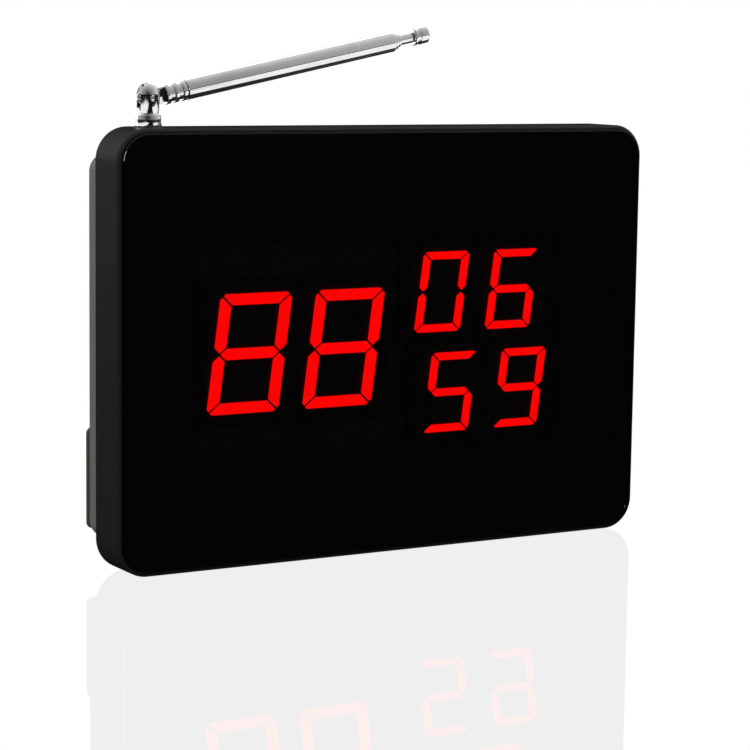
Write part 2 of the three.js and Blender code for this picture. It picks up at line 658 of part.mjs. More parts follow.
// The threaded bushing that clamps the antenna to the top of the case.
function antennaMount() {
  const group = new THREE.Group();
  group.position.set(antennaX, antennaY, housing.height);
  const { collarRadius, collarHeight, neckLength } = bushing;
  const body = turned([
    [boreRadius, -neckLength], [neckRadius, -neckLength], [neckRadius, gap], [collarRadius, gap],
    [collarRadius, collarHeight - 0.4], [collarRadius - 0.4, collarHeight], [boreRadius, collarHeight],
    [boreRadius, -neckLength],
  ]).rotateX(Math.PI / 2);
  const nutTop = -housing.wall - gap;
  const nutBottom = nutTop - antennaNut.thickness;
  const nut = cutFrom(
    solid(bar("z", nutRadius, nutBottom, nutTop, [0, 0, 0], 6)),
    bar("z", neckRadius + gap, nutBottom - 1, nutTop + 1, [0, 0, 0]),
  );
  const lugTop = nutBottom - gap;
  const lugBottom = lugTop - antennaLug.thickness;
  const halfTail = antennaLug.width / 2;
  const lug = cutFrom(
    joined(
      bar("z", nutRadius, lugBottom, lugTop, [0, 0, 0]),
      block(neckRadius + gap, antennaLug.reach, -halfTail, halfTail, lugBottom, lugTop),
    ),
    bar("z", neckRadius + gap, lugBottom - 1, lugTop + 1, [0, 0, 0]),
    bar("z", 0.7, lugBottom - 1, lugTop + 1, [antennaLug.eye, 0, 0], 12),
  );
  group.add(piece("antenna_bushing", body, materials.chromePlate));
  group.add(piece("antenna_nut", nut, materials.brassMetal));
  group.add(piece("antenna_lug", lug, materials.brassMetal));
  return group;
}

// The stud that turns in the bushing, with a slot and a pin for the knuckle.
function studSolid() {
  const { radius, top, slotWidth, flareHeight } = stud;
  const flareRadius = shaftRadius + stud.flare;
  const bottom = bushing.collarHeight + gap;
  const flareTop = -bushing.neckLength - gap;
  const domeStart = top - radius;
  const dome = Array.from({ length: 6 }, (_, index) => {
    const angle = ((index + 1) / 6) * (Math.PI / 2);
    return [radius * Math.cos(angle), domeStart + radius * Math.sin(angle)];
  });
  dome[5][0] = 0;
  const body = turned([
    [0, flareTop - flareHeight], [flareRadius, flareTop - flareHeight], [flareRadius, flareTop],
    [shaftRadius, flareTop], [shaftRadius, bottom], [radius, bottom], [radius, domeStart], ...dome,
  ]).rotateX(Math.PI / 2);
  const slotBottom = antenna.pivotHeight - knuckle.height / 2 - 0.7;
  return cutFrom(
    solid(body),
    block(-2 * radius, 2 * radius, -slotWidth / 2, slotWidth / 2, slotBottom, top + 1),
    bar("y", hingePin.holeRadius, -radius - 1, radius + 1, [0, 0, antenna.pivotHeight], 16),
  );
}

// The antenna's root: a flat tongue on the pin and a ringed ferrule. Lengths run along +X from the pin.
function knuckleSolid() {
  const { thickness, height, ferruleStart, ferruleEnd, plugLength, ringRadius, grooveRadius } = knuckle;
  const plug = mainTube.radius - tubeWall - tubeSlip;
  const ringWidth = (ferruleEnd - ferruleStart) / 5;
  const rings = Array.from({ length: 5 }, (_, index) => {
    const radius = index % 2 ? grooveRadius : ringRadius;
    return [[radius, ferruleStart + index * ringWidth], [radius, ferruleStart + (index + 1) * ringWidth]];
  }).flat();
  const ferrule = turned([
    [0, ferruleStart], ...rings, [plug, ferruleEnd],
    [plug, ferruleEnd + plugLength], [0, ferruleEnd + plugLength],
  ]).rotateZ(-Math.PI / 2);
  const half = thickness / 2;
  return cutFrom(
    joined(
      ferrule,
      bar("y", height / 2, -half, half, [0, 0, 0]),
      block(0, ferruleStart + 1, -half, half, -height / 2, height / 2),
    ),
    bar("y", hingePin.holeRadius, -thickness, thickness, [0, 0, 0], 16),
  );
}

// One drawn tube: its mouth is rolled in a little, and its far end shows past the tube around it.
function tubeSolid(radius, start, end) {
  const inner = radius - tubeWall;
  return turned([
    [inner, start], [radius, start], [radius, end - 0.5], [radius - 0.35, end], [inner, end], [inner, start],
  ]).rotateZ(-Math.PI / 2);
}

function antennaRod() {
  const group = new THREE.Group();
  group.position.set(antennaX, antennaY, pivotZ);
  group.rotation.y = -(antenna.restTilt * Math.PI) / 180;
  group.add(piece("antenna_knuckle", knuckleSolid(), materials.chromePlate));
  const inset = knuckle.ferruleEnd + knuckle.plugLength + 2 * gap;
  const step = tubeWall + tubeSlip;
  const outerTube = tubeSolid(mainTube.radius, mainTube.start, mainTube.end);
  group.add(piece("antenna_tube_1", outerTube, materials.chromePlate));
  for (const order of [1, 2]) {
    const tube = tubeSolid(mainTube.radius - order * step, inset + order, mainTube.end + order * tubeStep);
    group.add(piece(`antenna_tube_${order + 1}`, tube, materials.chromePlate));
  }
  const tipRadius = mainTube.radius - 3 * step;
  const neckEnd = mainTube.end + 3 * tubeStep + neckLength;
  const tip = tubeSolid(tipRadius, inset + 3, neckEnd);
  group.add(piece("antenna_tube_4", tip, materials.chromePlate));
  const capStart = neckEnd + gap;
  const spigot = tipRadius - tubeWall - tubeSlip;
  const capShape = turned([
    [0, capStart - 4], [spigot, capStart - 4], [spigot, capStart], [cap.radius - 0.6, capStart],
    [cap.radius, capStart + 0.6], [cap.radius, capStart + 1.2], [cap.grooveRadius, capStart + 1.6],
    [cap.grooveRadius, capStart + 2.8], [cap.radius, capStart + 3.2],
    [cap.radius, capStart + cap.length - 0.8],
    [cap.radius - 0.8, capStart + cap.length], [0, capStart + cap.length],
  ]).rotateZ(-Math.PI / 2);
  group.add(piece("antenna_cap", capShape, materials.chromePlate));
  return group;
}

function swivelPieces() {
  const group = new THREE.Group();
  group.position.set(antennaX, antennaY, housing.height);
  group.add(piece("antenna_stud", studSolid(), materials.chromePlate));
  const halfPin = stud.radius - 0.5;
  const pin = bar("y", hingePin.radius, -halfPin, halfPin, [0, 0, antenna.pivotHeight]);
  group.add(piece("antenna_pin", pin, materials.chromePlate));
  return group;
}

function casePieces() {
  const group = new THREE.Group();
  group.add(piece("front_housing", frontHousing(), materials.blackPlastic));
  group.add(piece("front_window", smokedPanel(), materials.smokedPanel));
  group.add(piece("window_tape", panelTape(), materials.tapeFoam));
  group.add(piece("rear_cover", rearCover(), materials.greyPlastic));
  group.add(piece("key_plate", keyPlateSolid(), materials.darkPlastic));
  coverPostPlaces().forEach((place, index) => {
    const seat = screwSeat + gap;
    const body = screw({ ...coverScrew, length: seat - screwTip }, seat, false, place);
    group.add(piece(`cover_screw_${index + 1}`, body, materials.screwSteel));
  });
  keyPlaces().forEach(([x, z], index) => {
    group.add(piece(keyNames[index], keySolid(x, z), materials.rubberKey));
  });
  return group;
}

const receiver = new THREE.Group();
receiver.add(
  casePieces(),
  displayPieces(),
  controlPieces(),
  speakerPieces(),
  piece("antenna_lead", antennaLead(), materials.leadSleeve),
  piece("speaker_lead", speakerLead(), materials.leadSleeve),
  antennaMount(),
  swivelPieces(),
  antennaRod(),
);

export default receiver;
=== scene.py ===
import json
import math

import bmesh
import bpy
from mathutils import Matrix, Vector

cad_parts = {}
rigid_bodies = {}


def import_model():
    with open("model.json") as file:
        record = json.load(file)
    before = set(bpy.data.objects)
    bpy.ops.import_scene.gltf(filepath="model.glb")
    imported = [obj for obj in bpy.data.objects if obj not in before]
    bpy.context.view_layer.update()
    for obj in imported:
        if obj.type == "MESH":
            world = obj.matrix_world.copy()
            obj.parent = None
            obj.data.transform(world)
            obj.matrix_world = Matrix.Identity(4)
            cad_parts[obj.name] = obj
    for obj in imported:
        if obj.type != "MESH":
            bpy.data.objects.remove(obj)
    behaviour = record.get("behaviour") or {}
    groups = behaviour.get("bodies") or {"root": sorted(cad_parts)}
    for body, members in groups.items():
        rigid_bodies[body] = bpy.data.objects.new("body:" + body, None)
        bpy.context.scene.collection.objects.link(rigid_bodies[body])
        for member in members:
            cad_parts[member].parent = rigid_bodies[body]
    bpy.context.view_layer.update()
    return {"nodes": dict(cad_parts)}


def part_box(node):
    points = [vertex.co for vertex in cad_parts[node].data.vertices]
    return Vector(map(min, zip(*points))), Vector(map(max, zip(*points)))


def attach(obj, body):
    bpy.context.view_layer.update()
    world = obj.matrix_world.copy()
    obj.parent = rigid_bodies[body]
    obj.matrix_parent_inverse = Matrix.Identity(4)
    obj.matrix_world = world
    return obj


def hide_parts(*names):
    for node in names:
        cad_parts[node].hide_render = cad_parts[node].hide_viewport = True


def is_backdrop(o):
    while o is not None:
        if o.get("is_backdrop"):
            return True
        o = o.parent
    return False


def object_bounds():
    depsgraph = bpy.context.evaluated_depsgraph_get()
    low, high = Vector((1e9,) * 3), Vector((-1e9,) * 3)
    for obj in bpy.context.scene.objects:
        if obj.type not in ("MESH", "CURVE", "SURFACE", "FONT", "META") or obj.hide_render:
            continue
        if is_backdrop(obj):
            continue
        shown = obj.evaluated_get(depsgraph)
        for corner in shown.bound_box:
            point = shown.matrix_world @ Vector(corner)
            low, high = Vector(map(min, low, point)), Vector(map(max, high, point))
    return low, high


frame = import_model()
scene = bpy.context.scene
mm = 0.001

# Where things are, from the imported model.
caseLow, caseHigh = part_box("front_housing")
panelLow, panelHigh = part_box("front_window")
coverLow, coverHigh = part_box("rear_cover")
caseMiddle = (caseLow + caseHigh) / 2
caseHalfWidth = (caseHigh.x - caseLow.x) / 2
caseHalfHeight = (caseHigh.z - caseLow.z) / 2
print("frame loaded:", len(frame["nodes"]), "nodes")


# Where the camera stands and how it is turned, in metres and degrees. The lens is in millimetres.
cameraSettings = {
    "place": (-0.5911, -0.9985, 0.2394), "turn": 30.512, "down": 7.685, "roll": -0.786,
    "lens": 119.09, "sensor": 36,
}


def makeCamera(settings):
    turn, down, roll = (math.radians(settings[key]) for key in ("turn", "down", "roll"))
    forward = Vector((math.sin(turn) * math.cos(down), math.cos(turn) * math.cos(down), -math.sin(down)))
    level = Vector((math.cos(turn), -math.sin(turn), 0))
    under = forward.cross(level)
    right = level * math.cos(roll) + under * math.sin(roll)
    below = under * math.cos(roll) - level * math.sin(roll)
    data = bpy.data.cameras.new("camera")
    data.lens = settings["lens"]
    data.sensor_width = settings["sensor"]
    data.clip_start, data.clip_end = 0.05, 60
    camera = bpy.data.objects.new("camera", data)
    axes = Matrix((right, -below, -forward)).transposed()
    camera.matrix_world = Matrix.Translation(settings["place"]) @ axes.to_4x4()
    scene.collection.objects.link(camera)
    scene.camera = camera


makeCamera(cameraSettings)


class Wire:  # an output socket that can be used in sums
    def __init__(self, board, socket):
        self.board = board
        self.socket = socket

    def maths(self, operation, first, second=0.0):
        return self.board.node("ShaderNodeMath", {"operation": operation}, {0: first, 1: second})

    def __add__(self, other):
        return self.maths("ADD", self, other)

    def __radd__(self, other):
        return self.maths("ADD", other, self)

    def __sub__(self, other):
        return self.maths("SUBTRACT", self, other)

    def __rsub__(self, other):
        return self.maths("SUBTRACT", other, self)

    def __mul__(self, other):
        return self.maths("MULTIPLY", self, other)

    def __rmul__(self, other):
        return self.maths("MULTIPLY", other, self)

    def __truediv__(self, other):
        return self.maths("DIVIDE", self, other)

    def __pow__(self, other):
        return self.maths("POWER", self, other)

    def __gt__(self, other):
        return self.maths("GREATER_THAN", self, other)


class Board:  # a node tree while it is being filled in
    def __init__(self, tree):
        self.tree = tree

    def node(self, kind, settings=None, sockets=None, output=0):
        made = self.tree.nodes.new(kind)
        for key, value in (settings or {}).items():
            if key == "stops":
                self.setStops(made.color_ramp, value)
            else:
                setattr(made, key, value)
        for key, value in (sockets or {}).items():
            if isinstance(value, Wire):
                self.tree.links.new(value.socket, made.inputs[key])
            else:
                made.inputs[key].default_value = value
        return Wire(self, made.outputs[output]) if made.outputs else None

    def setStops(self, ramp, stops):
        while len(ramp.elements) < len(stops):
            ramp.elements.new(0.5)
        for element, (position, value) in zip(ramp.elements, stops):
            element.position = position
            element.color = (value, value, value, 1)

    # Helpers for finishes.
    def place(self):
        return self.node("ShaderNodeTexCoord", output="Object")

    def noise(self, place, scale, detail=2.0, roughness=0.5):
        return self.node("ShaderNodeTexNoise", {}, {
            "Vector": place, "Scale": scale, "Detail": detail, "Roughness": roughness,
        })

    def ramp(self, value, *stops):
        return self.node("ShaderNodeValToRGB", {"stops": stops}, {"Fac": value})

    def tint(self, amount, first, second):
        return self.node("ShaderNodeMix", {"data_type": "RGBA"}, {
            0: amount, 6: (*first, 1), 7: (*second, 1),
        }, output=2)

    def bump(self, height, depth, strength=1.0):
        return self.node("ShaderNodeBump", {}, {"Strength": strength, "Distance": depth, "Height": height})

    def shapeOf(self, owner):
        return self.node("GeometryNodeObjectInfo", {}, {"Object": owner}, "Geometry")

    def stretched(self, place, scale):
        return self.node("ShaderNodeVectorMath", {"operation": "MULTIPLY"}, {0: place, 1: scale})


def emptyBoard(owner):
    owner.use_nodes = True
    owner.node_tree.nodes.clear()
    return Board(owner.node_tree)


def finish(name, fill):
    material = bpy.data.materials.new(name)
    board = emptyBoard(material)
    shader = board.node("ShaderNodeBsdfPrincipled", {}, fill(board, board.place()))
    board.node("ShaderNodeOutputMaterial", {}, {"Surface": shader})
    return material


def mouldedPlastic(name, dark, light, rough, grain, grainDepth, worn=0.0, gloss=0.5):
    # Moulded ABS: a spark grain, a slow mottle from the flow of the melt, and a little handling polish.
    def fill(board, place):
        fine = board.noise(place, grain, 3.0, 0.6)
        slow = board.noise(place, 38.0, 3.0, 0.55)
        polish = board.ramp(board.noise(place, 11.0, 2.0), (0.45, 0.0), (0.7, 1.0))
        return {
            "Base Color": board.tint(slow * 0.7 + fine * 0.3, dark, light),
            "Roughness": rough + (fine - 0.5) * 0.16 - polish * worn,
            "Normal": board.bump(fine, grainDepth),
            "Specular IOR Level": gloss,
        }
    return finish(name, fill)


def smokedAcrylic(name):
    def fill(board, place):
        haze = board.ramp(board.noise(place, 7.0, 3.0, 0.6), (0.4, 0.0), (0.75, 1.0))
        wave = board.noise(place, 22.0, 1.0)
        return {
            "Base Color": (0.0015, 0.0015, 0.0015, 1),
            "Roughness": 0.035 + haze * 0.02,
            "Normal": board.bump(wave, 0.00002, 0.25),
            "Alpha": 0.55,
            "IOR": 1.49,
        }
    return finish(name, fill)


def litEpoxy(name, power):
    # A stroke lit from behind: even, with a faintly hotter core where each diode sits.
    def fill(board, place):
        spots = board.node("ShaderNodeTexVoronoi", {"feature": "SMOOTH_F1"}, {
            "Vector": place, "Scale": 110.0, "Smoothness": 1.0, "Randomness": 0.35,
        })
        milk = board.noise(place, 900.0, 2.0)
        core = board.ramp(spots, (0.0, 1.0), (0.9, 0.0))
        return {
            "Base Color": (0.35, 0.0, 0.0, 1),
            "Roughness": 0.35 + milk * 0.1,
            "Emission Color": board.tint(core, (0.86, 0.0, 0.0), (1.0, 0.0, 0.0)),
            "Emission Strength": power,
            "Normal": board.bump(milk, 0.00001),
        }
    return finish(name, fill)


def darkEpoxy(name):
    def fill(board, place):
        milk = board.noise(place, 900.0, 2.0)
        return {
            "Base Color": board.tint(milk, (0.0035, 0.001, 0.001), (0.006, 0.002, 0.002)),
            "Roughness": 0.5 + milk * 0.15,
            "Normal": board.bump(milk, 0.00001),
        }
    return finish(name, fill)


def chromePlate(name):
    # Bright plate: fine drawing lines along the mast, faint smears and a few wiped spots.
    def fill(board, place):
        lines = board.noise(board.stretched(place, (120.0, 5200.0, 5200.0)), 1.0, 2.0)
        smear = board.ramp(board.noise(place, 160.0, 3.0, 0.6), (0.45, 0.0), (0.8, 1.0))
        return {
            "Base Color": board.tint(smear, (0.86, 0.87, 0.88), (0.74, 0.75, 0.77)),
            "Metallic": 1.0,
            "Roughness": 0.045 + lines * 0.03 + smear * 0.05,
            "Normal": board.bump(lines, 0.0000015, 0.4),
        }
    return finish(name, fill)


def platedMetal(name, dark, light, rough):
    def fill(board, place):
        scratch = board.noise(board.stretched(place, (900.0, 900.0, 6000.0)), 1.0, 3.0)
        stain = board.noise(place, 260.0, 3.0)
        return {
            "Base Color": board.tint(stain, dark, light),
            "Metallic": 1.0,
            "Roughness": rough + (scratch - 0.5) * 0.2,
            "Normal": board.bump(scratch, 0.000005),
        }
    return finish(name, fill)


def solderMask(name):
    # Green mask over copper tracks: the tracks stand slightly proud and read lighter.
    def fill(board, place):
        cells = board.node("ShaderNodeTexVoronoi", {"feature": "DISTANCE_TO_EDGE", "distance": "CHEBYCHEV"}, {
            "Vector": place, "Scale": 230.0,
        })
        track = board.ramp(cells, (0.04, 1.0), (0.07, 0.0))
        weave = board.noise(place, 1800.0, 2.0)
        return {
            "Base Color": board.tint(track, (0.006, 0.06, 0.022), (0.016, 0.13, 0.05)),
            "Roughness": 0.32 + weave * 0.15,
            "Normal": board.bump(track * 0.7 + weave * 0.3, 0.00003),
        }
    return finish(name, fill)


def softMatter(name, dark, light, scale, depth, rough):
    def fill(board, place):
        fibre = board.noise(place, scale, 4.0, 0.7)
        return {
            "Base Color": board.tint(fibre, dark, light),
            "Roughness": rough + (fibre - 0.5) * 0.1,
            "Normal": board.bump(fibre, depth),
        }
    return finish(name, fill)


plastics = {
    "caseBlack": ((0.0095, 0.0095, 0.008), (0.0135, 0.0135, 0.011), 0.4, 2600.0, 0.00002, 0.05, 0.2),
    "coverGrey": ((0.105, 0.098, 0.087), (0.128, 0.120, 0.108), 0.6, 2200.0, 0.00004, 0.05),
    "plateDark": ((0.044, 0.043, 0.040), (0.056, 0.055, 0.052), 0.55, 2600.0, 0.00003, 0.05),
    "keyCap": ((0.24, 0.23, 0.21), (0.30, 0.29, 0.265), 0.55, 3000.0, 0.00002, 0.1),
    "digitBlack": ((0.003, 0.003, 0.003), (0.005, 0.005, 0.005), 0.7, 1800.0, 0.00003),
    "partBlack": ((0.010, 0.010, 0.010), (0.018, 0.018, 0.018), 0.5, 3000.0, 0.00002),
}
caseBlack, coverGrey, plateDark, keyCap, digitBlack, partBlack = (
    mouldedPlastic(name, *values) for name, values in plastics.items()
)
smokedPanel = smokedAcrylic("smokedPanel")
litRed = litEpoxy("litRed", 5.0)
unlitRed = darkEpoxy("unlitRed")
mastChrome = chromePlate("mastChrome")
screwZinc = platedMetal("screwZinc", (0.34, 0.34, 0.35), (0.5, 0.5, 0.5), 0.34)
contactBrass = platedMetal("contactBrass", (0.45, 0.25, 0.06), (0.62, 0.38, 0.11), 0.3)
boardGreen = solderMask("boardGreen")
tapeFoam = softMatter("tapeFoam", (0.007, 0.007, 0.007), (0.016, 0.016, 0.016), 1500.0, 0.00008, 0.9)
conePulp = softMatter("conePulp", (0.012, 0.010, 0.009), (0.03, 0.026, 0.022), 700.0, 0.00012, 0.92)
leadSleeve = softMatter("leadSleeve", (0.008, 0.008, 0.008), (0.014, 0.014, 0.014), 1200.0, 0.00002, 0.5)
print("finishes made:", len(bpy.data.materials))


def roundedRing(halfWidth, halfHeight, radius, steps=12):
    ring = []
    for quarter, (sideX, sideZ) in enumerate(((1, 1), (-1, 1), (-1, -1), (1, -1))):
        for step in range(steps + 1):
            angle = math.radians(90 * (quarter + step / steps))
            ring.append((
                sideX * (halfWidth - radius) + radius * math.cos(angle),
                sideZ * (halfHeight - radius) + radius * math.sin(angle),
            ))
    return ring


def meshOf(name, build, keepAngle=30):
    work = bmesh.new()
    build(work)
    bmesh.ops.remove_doubles(work, verts=work.verts, dist=1e-7)
    bmesh.ops.recalc_face_normals(work, faces=work.faces)
    mesh = bpy.data.meshes.new(name)
    work.to_mesh(mesh)
    work.free()
    smooth(mesh, keepAngle)
    return mesh


def smooth(mesh, keepAngle=30):
    mesh.polygons.foreach_set("use_smooth", [True] * len(mesh.polygons))
    mesh.set_sharp_from_angle(angle=math.radians(keepAngle))


def addRings(work, rings, closed=False):
    rows = [[work.verts.new(point) for point in ring] for ring in rings]
    pairs = list(zip(rows, rows[1:])) + ([(rows[-1], rows[0])] if closed else [])
    for near, far in pairs:
        for index in range(len(near)):
            after = (index + 1) % len(near)
            work.faces.new((near[index], near[after], far[after], far[index]))
    if not closed:
        work.faces.new(rows[0])
        work.faces.new(rows[-1])


def loft(name, centre, rows, steps=12, keepAngle=30):
    # Rounded rectangles stacked along Y: each row is half width, half height, corner radius and Y.
    def build(work):
        addRings(work, [
            [(centre[0] + x, y, centre[1] + z) for x, z in roundedRing(halfWidth, halfHeight, radius, steps)]
            for halfWidth, halfHeight, radius, y in rows
        ])
    return meshOf(name, build, keepAngle)


def insetLoft(name, centre, size, rows, steps=12, keepAngle=30):
    # The same from one size: each row is how far inside that outline it lies, and its Y.
    halfWidth, halfHeight, corner = size
    return loft(name, centre, [
        (halfWidth - inset, halfHeight - inset, corner - inset, y) for inset, y in rows
    ], steps, keepAngle)


def turned(name, profile, axis="z", centre=(0, 0, 0), sides=64, closed=False):
    # A profile of (radius, height) turned round an axis. A zero radius closes an end.
    frames = {
        "x": lambda r, a, h: (h, r * math.cos(a), r * math.sin(a)),
        "y": lambda r, a, h: (r * math.cos(a), h, r * math.sin(a)),
        "z": lambda r, a, h: (r * math.cos(a), r * math.sin(a), h),
    }
    spread = [2 * math.pi * index / sides for index in range(sides)]

    def build(work):
        rings = [
            [Vector(centre) + Vector(frames[axis](max(radius, 1e-9), angle, height)) for angle in spread]
            for radius, height in profile
        ]
        addRings(work, rings, closed)
    return meshOf(name, build)


def rod(name, radius, start, end, axis="y", centre=(0, 0, 0), sides=32):
    return turned(name, [(0, start), (radius, start), (radius, end), (0, end)], axis, centre, sides)


def roundedOver(radius, angles):
    # How far in and how far up each point of a rounded edge lies, from its upright side to its flat one.
    turns = [math.radians(angle) for angle in angles]
    return [(radius - radius * math.cos(turn), radius * math.sin(turn)) for turn in turns]


def piece(mesh, name, material, body, nodes=()):
    mesh.name = name
    mesh.materials.clear()
    mesh.materials.append(material)
    made = bpy.data.objects.new(name, mesh)
    scene.collection.objects.link(made)
    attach(made, body)
    if nodes:
        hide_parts(*nodes)


def holder(mesh, name):
    made = bpy.data.objects.new(name, mesh)
    scene.collection.objects.link(made)
    return made


def pointsMesh(name, points, faces=()):
    mesh = bpy.data.meshes.new(name)
    mesh.from_pydata([tuple(point) for point in points], [], faces)
    return mesh


def newTree(name, inputs):
    tree = bpy.data.node_groups.new(name, "GeometryNodeTree")
    tree.is_modifier = True
    tree.interface.new_socket(name="Geometry", in_out="OUTPUT", socket_type="NodeSocketGeometry")
    tree.interface.new_socket(name="Geometry", in_out="INPUT", socket_type="NodeSocketGeometry")
    for title, kind in inputs:
        tree.interface.new_socket(name=title, in_out="INPUT", socket_type="NodeSocket" + kind)
    board = Board(tree)
    source = tree.nodes.new("NodeGroupInput")
    return tree, board, {socket.name: Wire(board, socket) for socket in source.outputs if socket.name}


def closeTree(board, geometry, material=None):
    real = board.node("GeometryNodeRealizeInstances", {}, {"Geometry": geometry})
    if material is not None:
        real = board.node("GeometryNodeSetMaterial", {}, {"Geometry": real, "Material": material})
    board.node("NodeGroupOutput", {}, {"Geometry": real})


def patternTree(name, operation=None):
    # Repeats a tool at each place. The copies are kept, joined to the base, or cut from it.
    tree, board, given = newTree(name, (("Places", "Object"), ("Tool", "Object"), ("Material", "Material")))
    places, tool = board.shapeOf(given["Places"]), board.shapeOf(given["Tool"])
    copies = board.node("GeometryNodeInstanceOnPoints", {}, {"Points": places, "Instance": tool})
    result = board.node("GeometryNodeRealizeInstances", {}, {"Geometry": copies})
    if operation:
        result = booleanNode(board, operation, given["Geometry"], result)
    closeTree(board, result, given["Material"])
    return tree


def booleanNode(board, operation, base, tool):
    made = board.tree.nodes.new("GeometryNodeMeshBoolean")
    made.operation = operation
    made.solver = "EXACT"
    if operation == "DIFFERENCE":
        board.tree.links.new(base.socket, made.inputs["Mesh 1"])
        board.tree.links.new(tool.socket, made.inputs["Mesh 2"])
    else:
        for wire in (tool, base):
            board.tree.links.new(wire.socket, made.inputs["Mesh 2"])
    return Wire(board, made.outputs["Mesh"])


def slotRowTree(name):
    # Cuts a row of slots. Each slot's length follows a circle of the given reach, as far as Bow says.
    tree, board, given = newTree(name, (
        ("Tool", "Object"), ("Count", "Int"), ("Pitch", "Float"), ("Reach", "Float"), ("Bow", "Float"),
        ("Width", "Float"), ("Centre", "Vector"), ("Turn", "Vector"), ("Material", "Material"),
    ))
    count, pitch = given["Count"], given["Pitch"]
    line = board.node("GeometryNodeMeshLine", {"mode": "OFFSET"}, {"Count": count})
    row = (board.node("GeometryNodeInputIndex") - (count - 1) / 2) * pitch
    chord = (given["Reach"] ** 2 - (row * given["Bow"]) ** 2) ** 0.5
    height = board.node("ShaderNodeCombineXYZ", {}, {"Z": row})
    line = board.node("GeometryNodeSetPosition", {}, {"Geometry": line, "Position": height})
    line = board.node("GeometryNodeStoreNamedAttribute", {"data_type": "FLOAT", "domain": "POINT"}, {
        "Geometry": line, "Name": "chord", "Value": chord,
    })
    tool = board.shapeOf(given["Tool"])
    slots = board.node("GeometryNodeInstanceOnPoints", {}, {"Points": line, "Instance": tool})
    slots = board.node("GeometryNodeRealizeInstances", {}, {"Geometry": slots})
    x = board.node("ShaderNodeSeparateXYZ", {}, {0: board.node("GeometryNodeInputPosition")})
    side = board.node("ShaderNodeMath", {"operation": "SIGN"}, {0: x})
    length = board.node("GeometryNodeInputNamedAttribute", {"data_type": "FLOAT"}, {"Name": "chord"})
    stretch = board.node("ShaderNodeCombineXYZ", {}, {"X": side * (length - given["Width"] / 2)})
    slots = board.node("GeometryNodeSetPosition", {}, {"Geometry": slots, "Offset": stretch})
    slots = board.node("GeometryNodeTransform", {}, {
        "Geometry": slots, "Translation": given["Centre"], "Rotation": given["Turn"],
    })
    closeTree(board, booleanNode(board, "DIFFERENCE", given["Geometry"], slots), given["Material"])
    return tree


def drawnTubeTree(name, columns=10):
    # One drawn tube along X: its wall, its rolled mouth and how far it stands out follow from its order.
    tree, board, given = newTree(name, (
        ("Order", "Float"), ("Radius", "Float"), ("Wall", "Float"), ("Slip", "Float"), ("Start", "Float"),
        ("End", "Float"), ("Step", "Float"), ("Lip", "Float"), ("Sides", "Int"), ("Material", "Material"),
    ))
    outer = given["Radius"] - given["Order"] * (given["Wall"] + given["Slip"])
    inner = outer - given["Wall"]
    start = given["Start"] + given["Order"] * 0.001
    end = given["End"] + given["Order"] * given["Step"]
    lip = given["Lip"]
    profile = (
        (inner, start), (outer - lip, start), (outer, start + lip), (outer, end - lip * 2.4),
        (outer - lip * 0.25, end - lip * 1.3), (outer - lip * 0.9, end - lip * 0.4),
        (outer - lip * 1.7, end), (inner, end), (inner, end - lip), (inner, start + lip),
    )
    index = board.node("GeometryNodeInputIndex")
    sides = given["Sides"]
    column = board.node("ShaderNodeMath", {"operation": "FLOOR"}, {0: index / (sides + 1)})
    turn = (index - column * (sides + 1)) / sides * (2 * math.pi)
    radius, along = 0.0, 0.0
    for order, (away, height) in enumerate(profile + profile[:1]):
        here = board.node("ShaderNodeMath", {"operation": "COMPARE"}, {0: column, 1: float(order), 2: 0.25})
        radius = here * away + radius
        along = here * height + along
    sheet = board.node("GeometryNodeMeshGrid", {}, {
        "Vertices X": columns + 1, "Vertices Y": sides + 1,
    })
    sine = board.node("ShaderNodeMath", {"operation": "SINE"}, {0: turn})
    cosine = board.node("ShaderNodeMath", {"operation": "COSINE"}, {0: turn})
    spot = board.node("ShaderNodeCombineXYZ", {}, {"X": along, "Y": radius * cosine, "Z": radius * sine})
    tube = board.node("GeometryNodeSetPosition", {}, {"Geometry": sheet, "Position": spot})
    tube = board.node("GeometryNodeMergeByDistance", {}, {"Geometry": tube, "Distance": 1e-7})
    closeTree(board, tube, given["Material"])
    return tree


def grown(tree, mesh, values):
    # Runs a tree on a mesh once and gives back the plain mesh.
    carrier = holder(mesh, "carrier")
    modifier = carrier.modifiers.new("shape", "NODES")
    modifier.node_group = tree
    for item in tree.interface.items_tree:
        if item.in_out == "INPUT" and item.name in values:
            modifier[item.identifier] = values[item.name]
    carrier.update_tag()
    graph = bpy.context.evaluated_depsgraph_get()
    graph.update()
    made = bpy.data.meshes.new_from_object(carrier.evaluated_get(graph))
    carrier.modifiers.remove(modifier)
    bpy.data.objects.remove(carrier)
    smooth(made)
    return made


def worked(tree, mesh, tool, material, places=((0, 0, 0),)):
    spots, copied = holder(pointsMesh("places", places), "places"), holder(tool, "tool")
    made = grown(tree, mesh, {"Places": spots, "Tool": copied, "Material": material})
    bpy.data.objects.remove(spots)
    bpy.data.objects.remove(copied)
    return made


keepCopies = patternTree("keepCopies")
joinCopies = patternTree("joinCopies", "UNION")
cutCopies = patternTree("cutCopies", "DIFFERENCE")
slotRow = slotRowTree("slotRow")
drawnTube = drawnTubeTree("drawnTube")


def centreOf(node):
    low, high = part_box(node)
    return (low + high) / 2


# The tray that holds everything.
housing = {
    "corner": 15 * mm, "edge": 2.5 * mm, "wall": 2.5 * mm, "floor": 2.2 * mm, "seat": 1.7 * mm,
    "seatDepth": 3.2 * mm, "rim": 0.15 * mm, "bossRadius": 4 * mm, "hole": 1.8 * mm, "mastHole": 3.856 * mm,
}
screwNodes = [f"cover_screw_{order}" for order in (1, 2, 3, 4)]
screwPlaces = [(centreOf(node).x, 0, centreOf(node).z) for node in screwNodes]


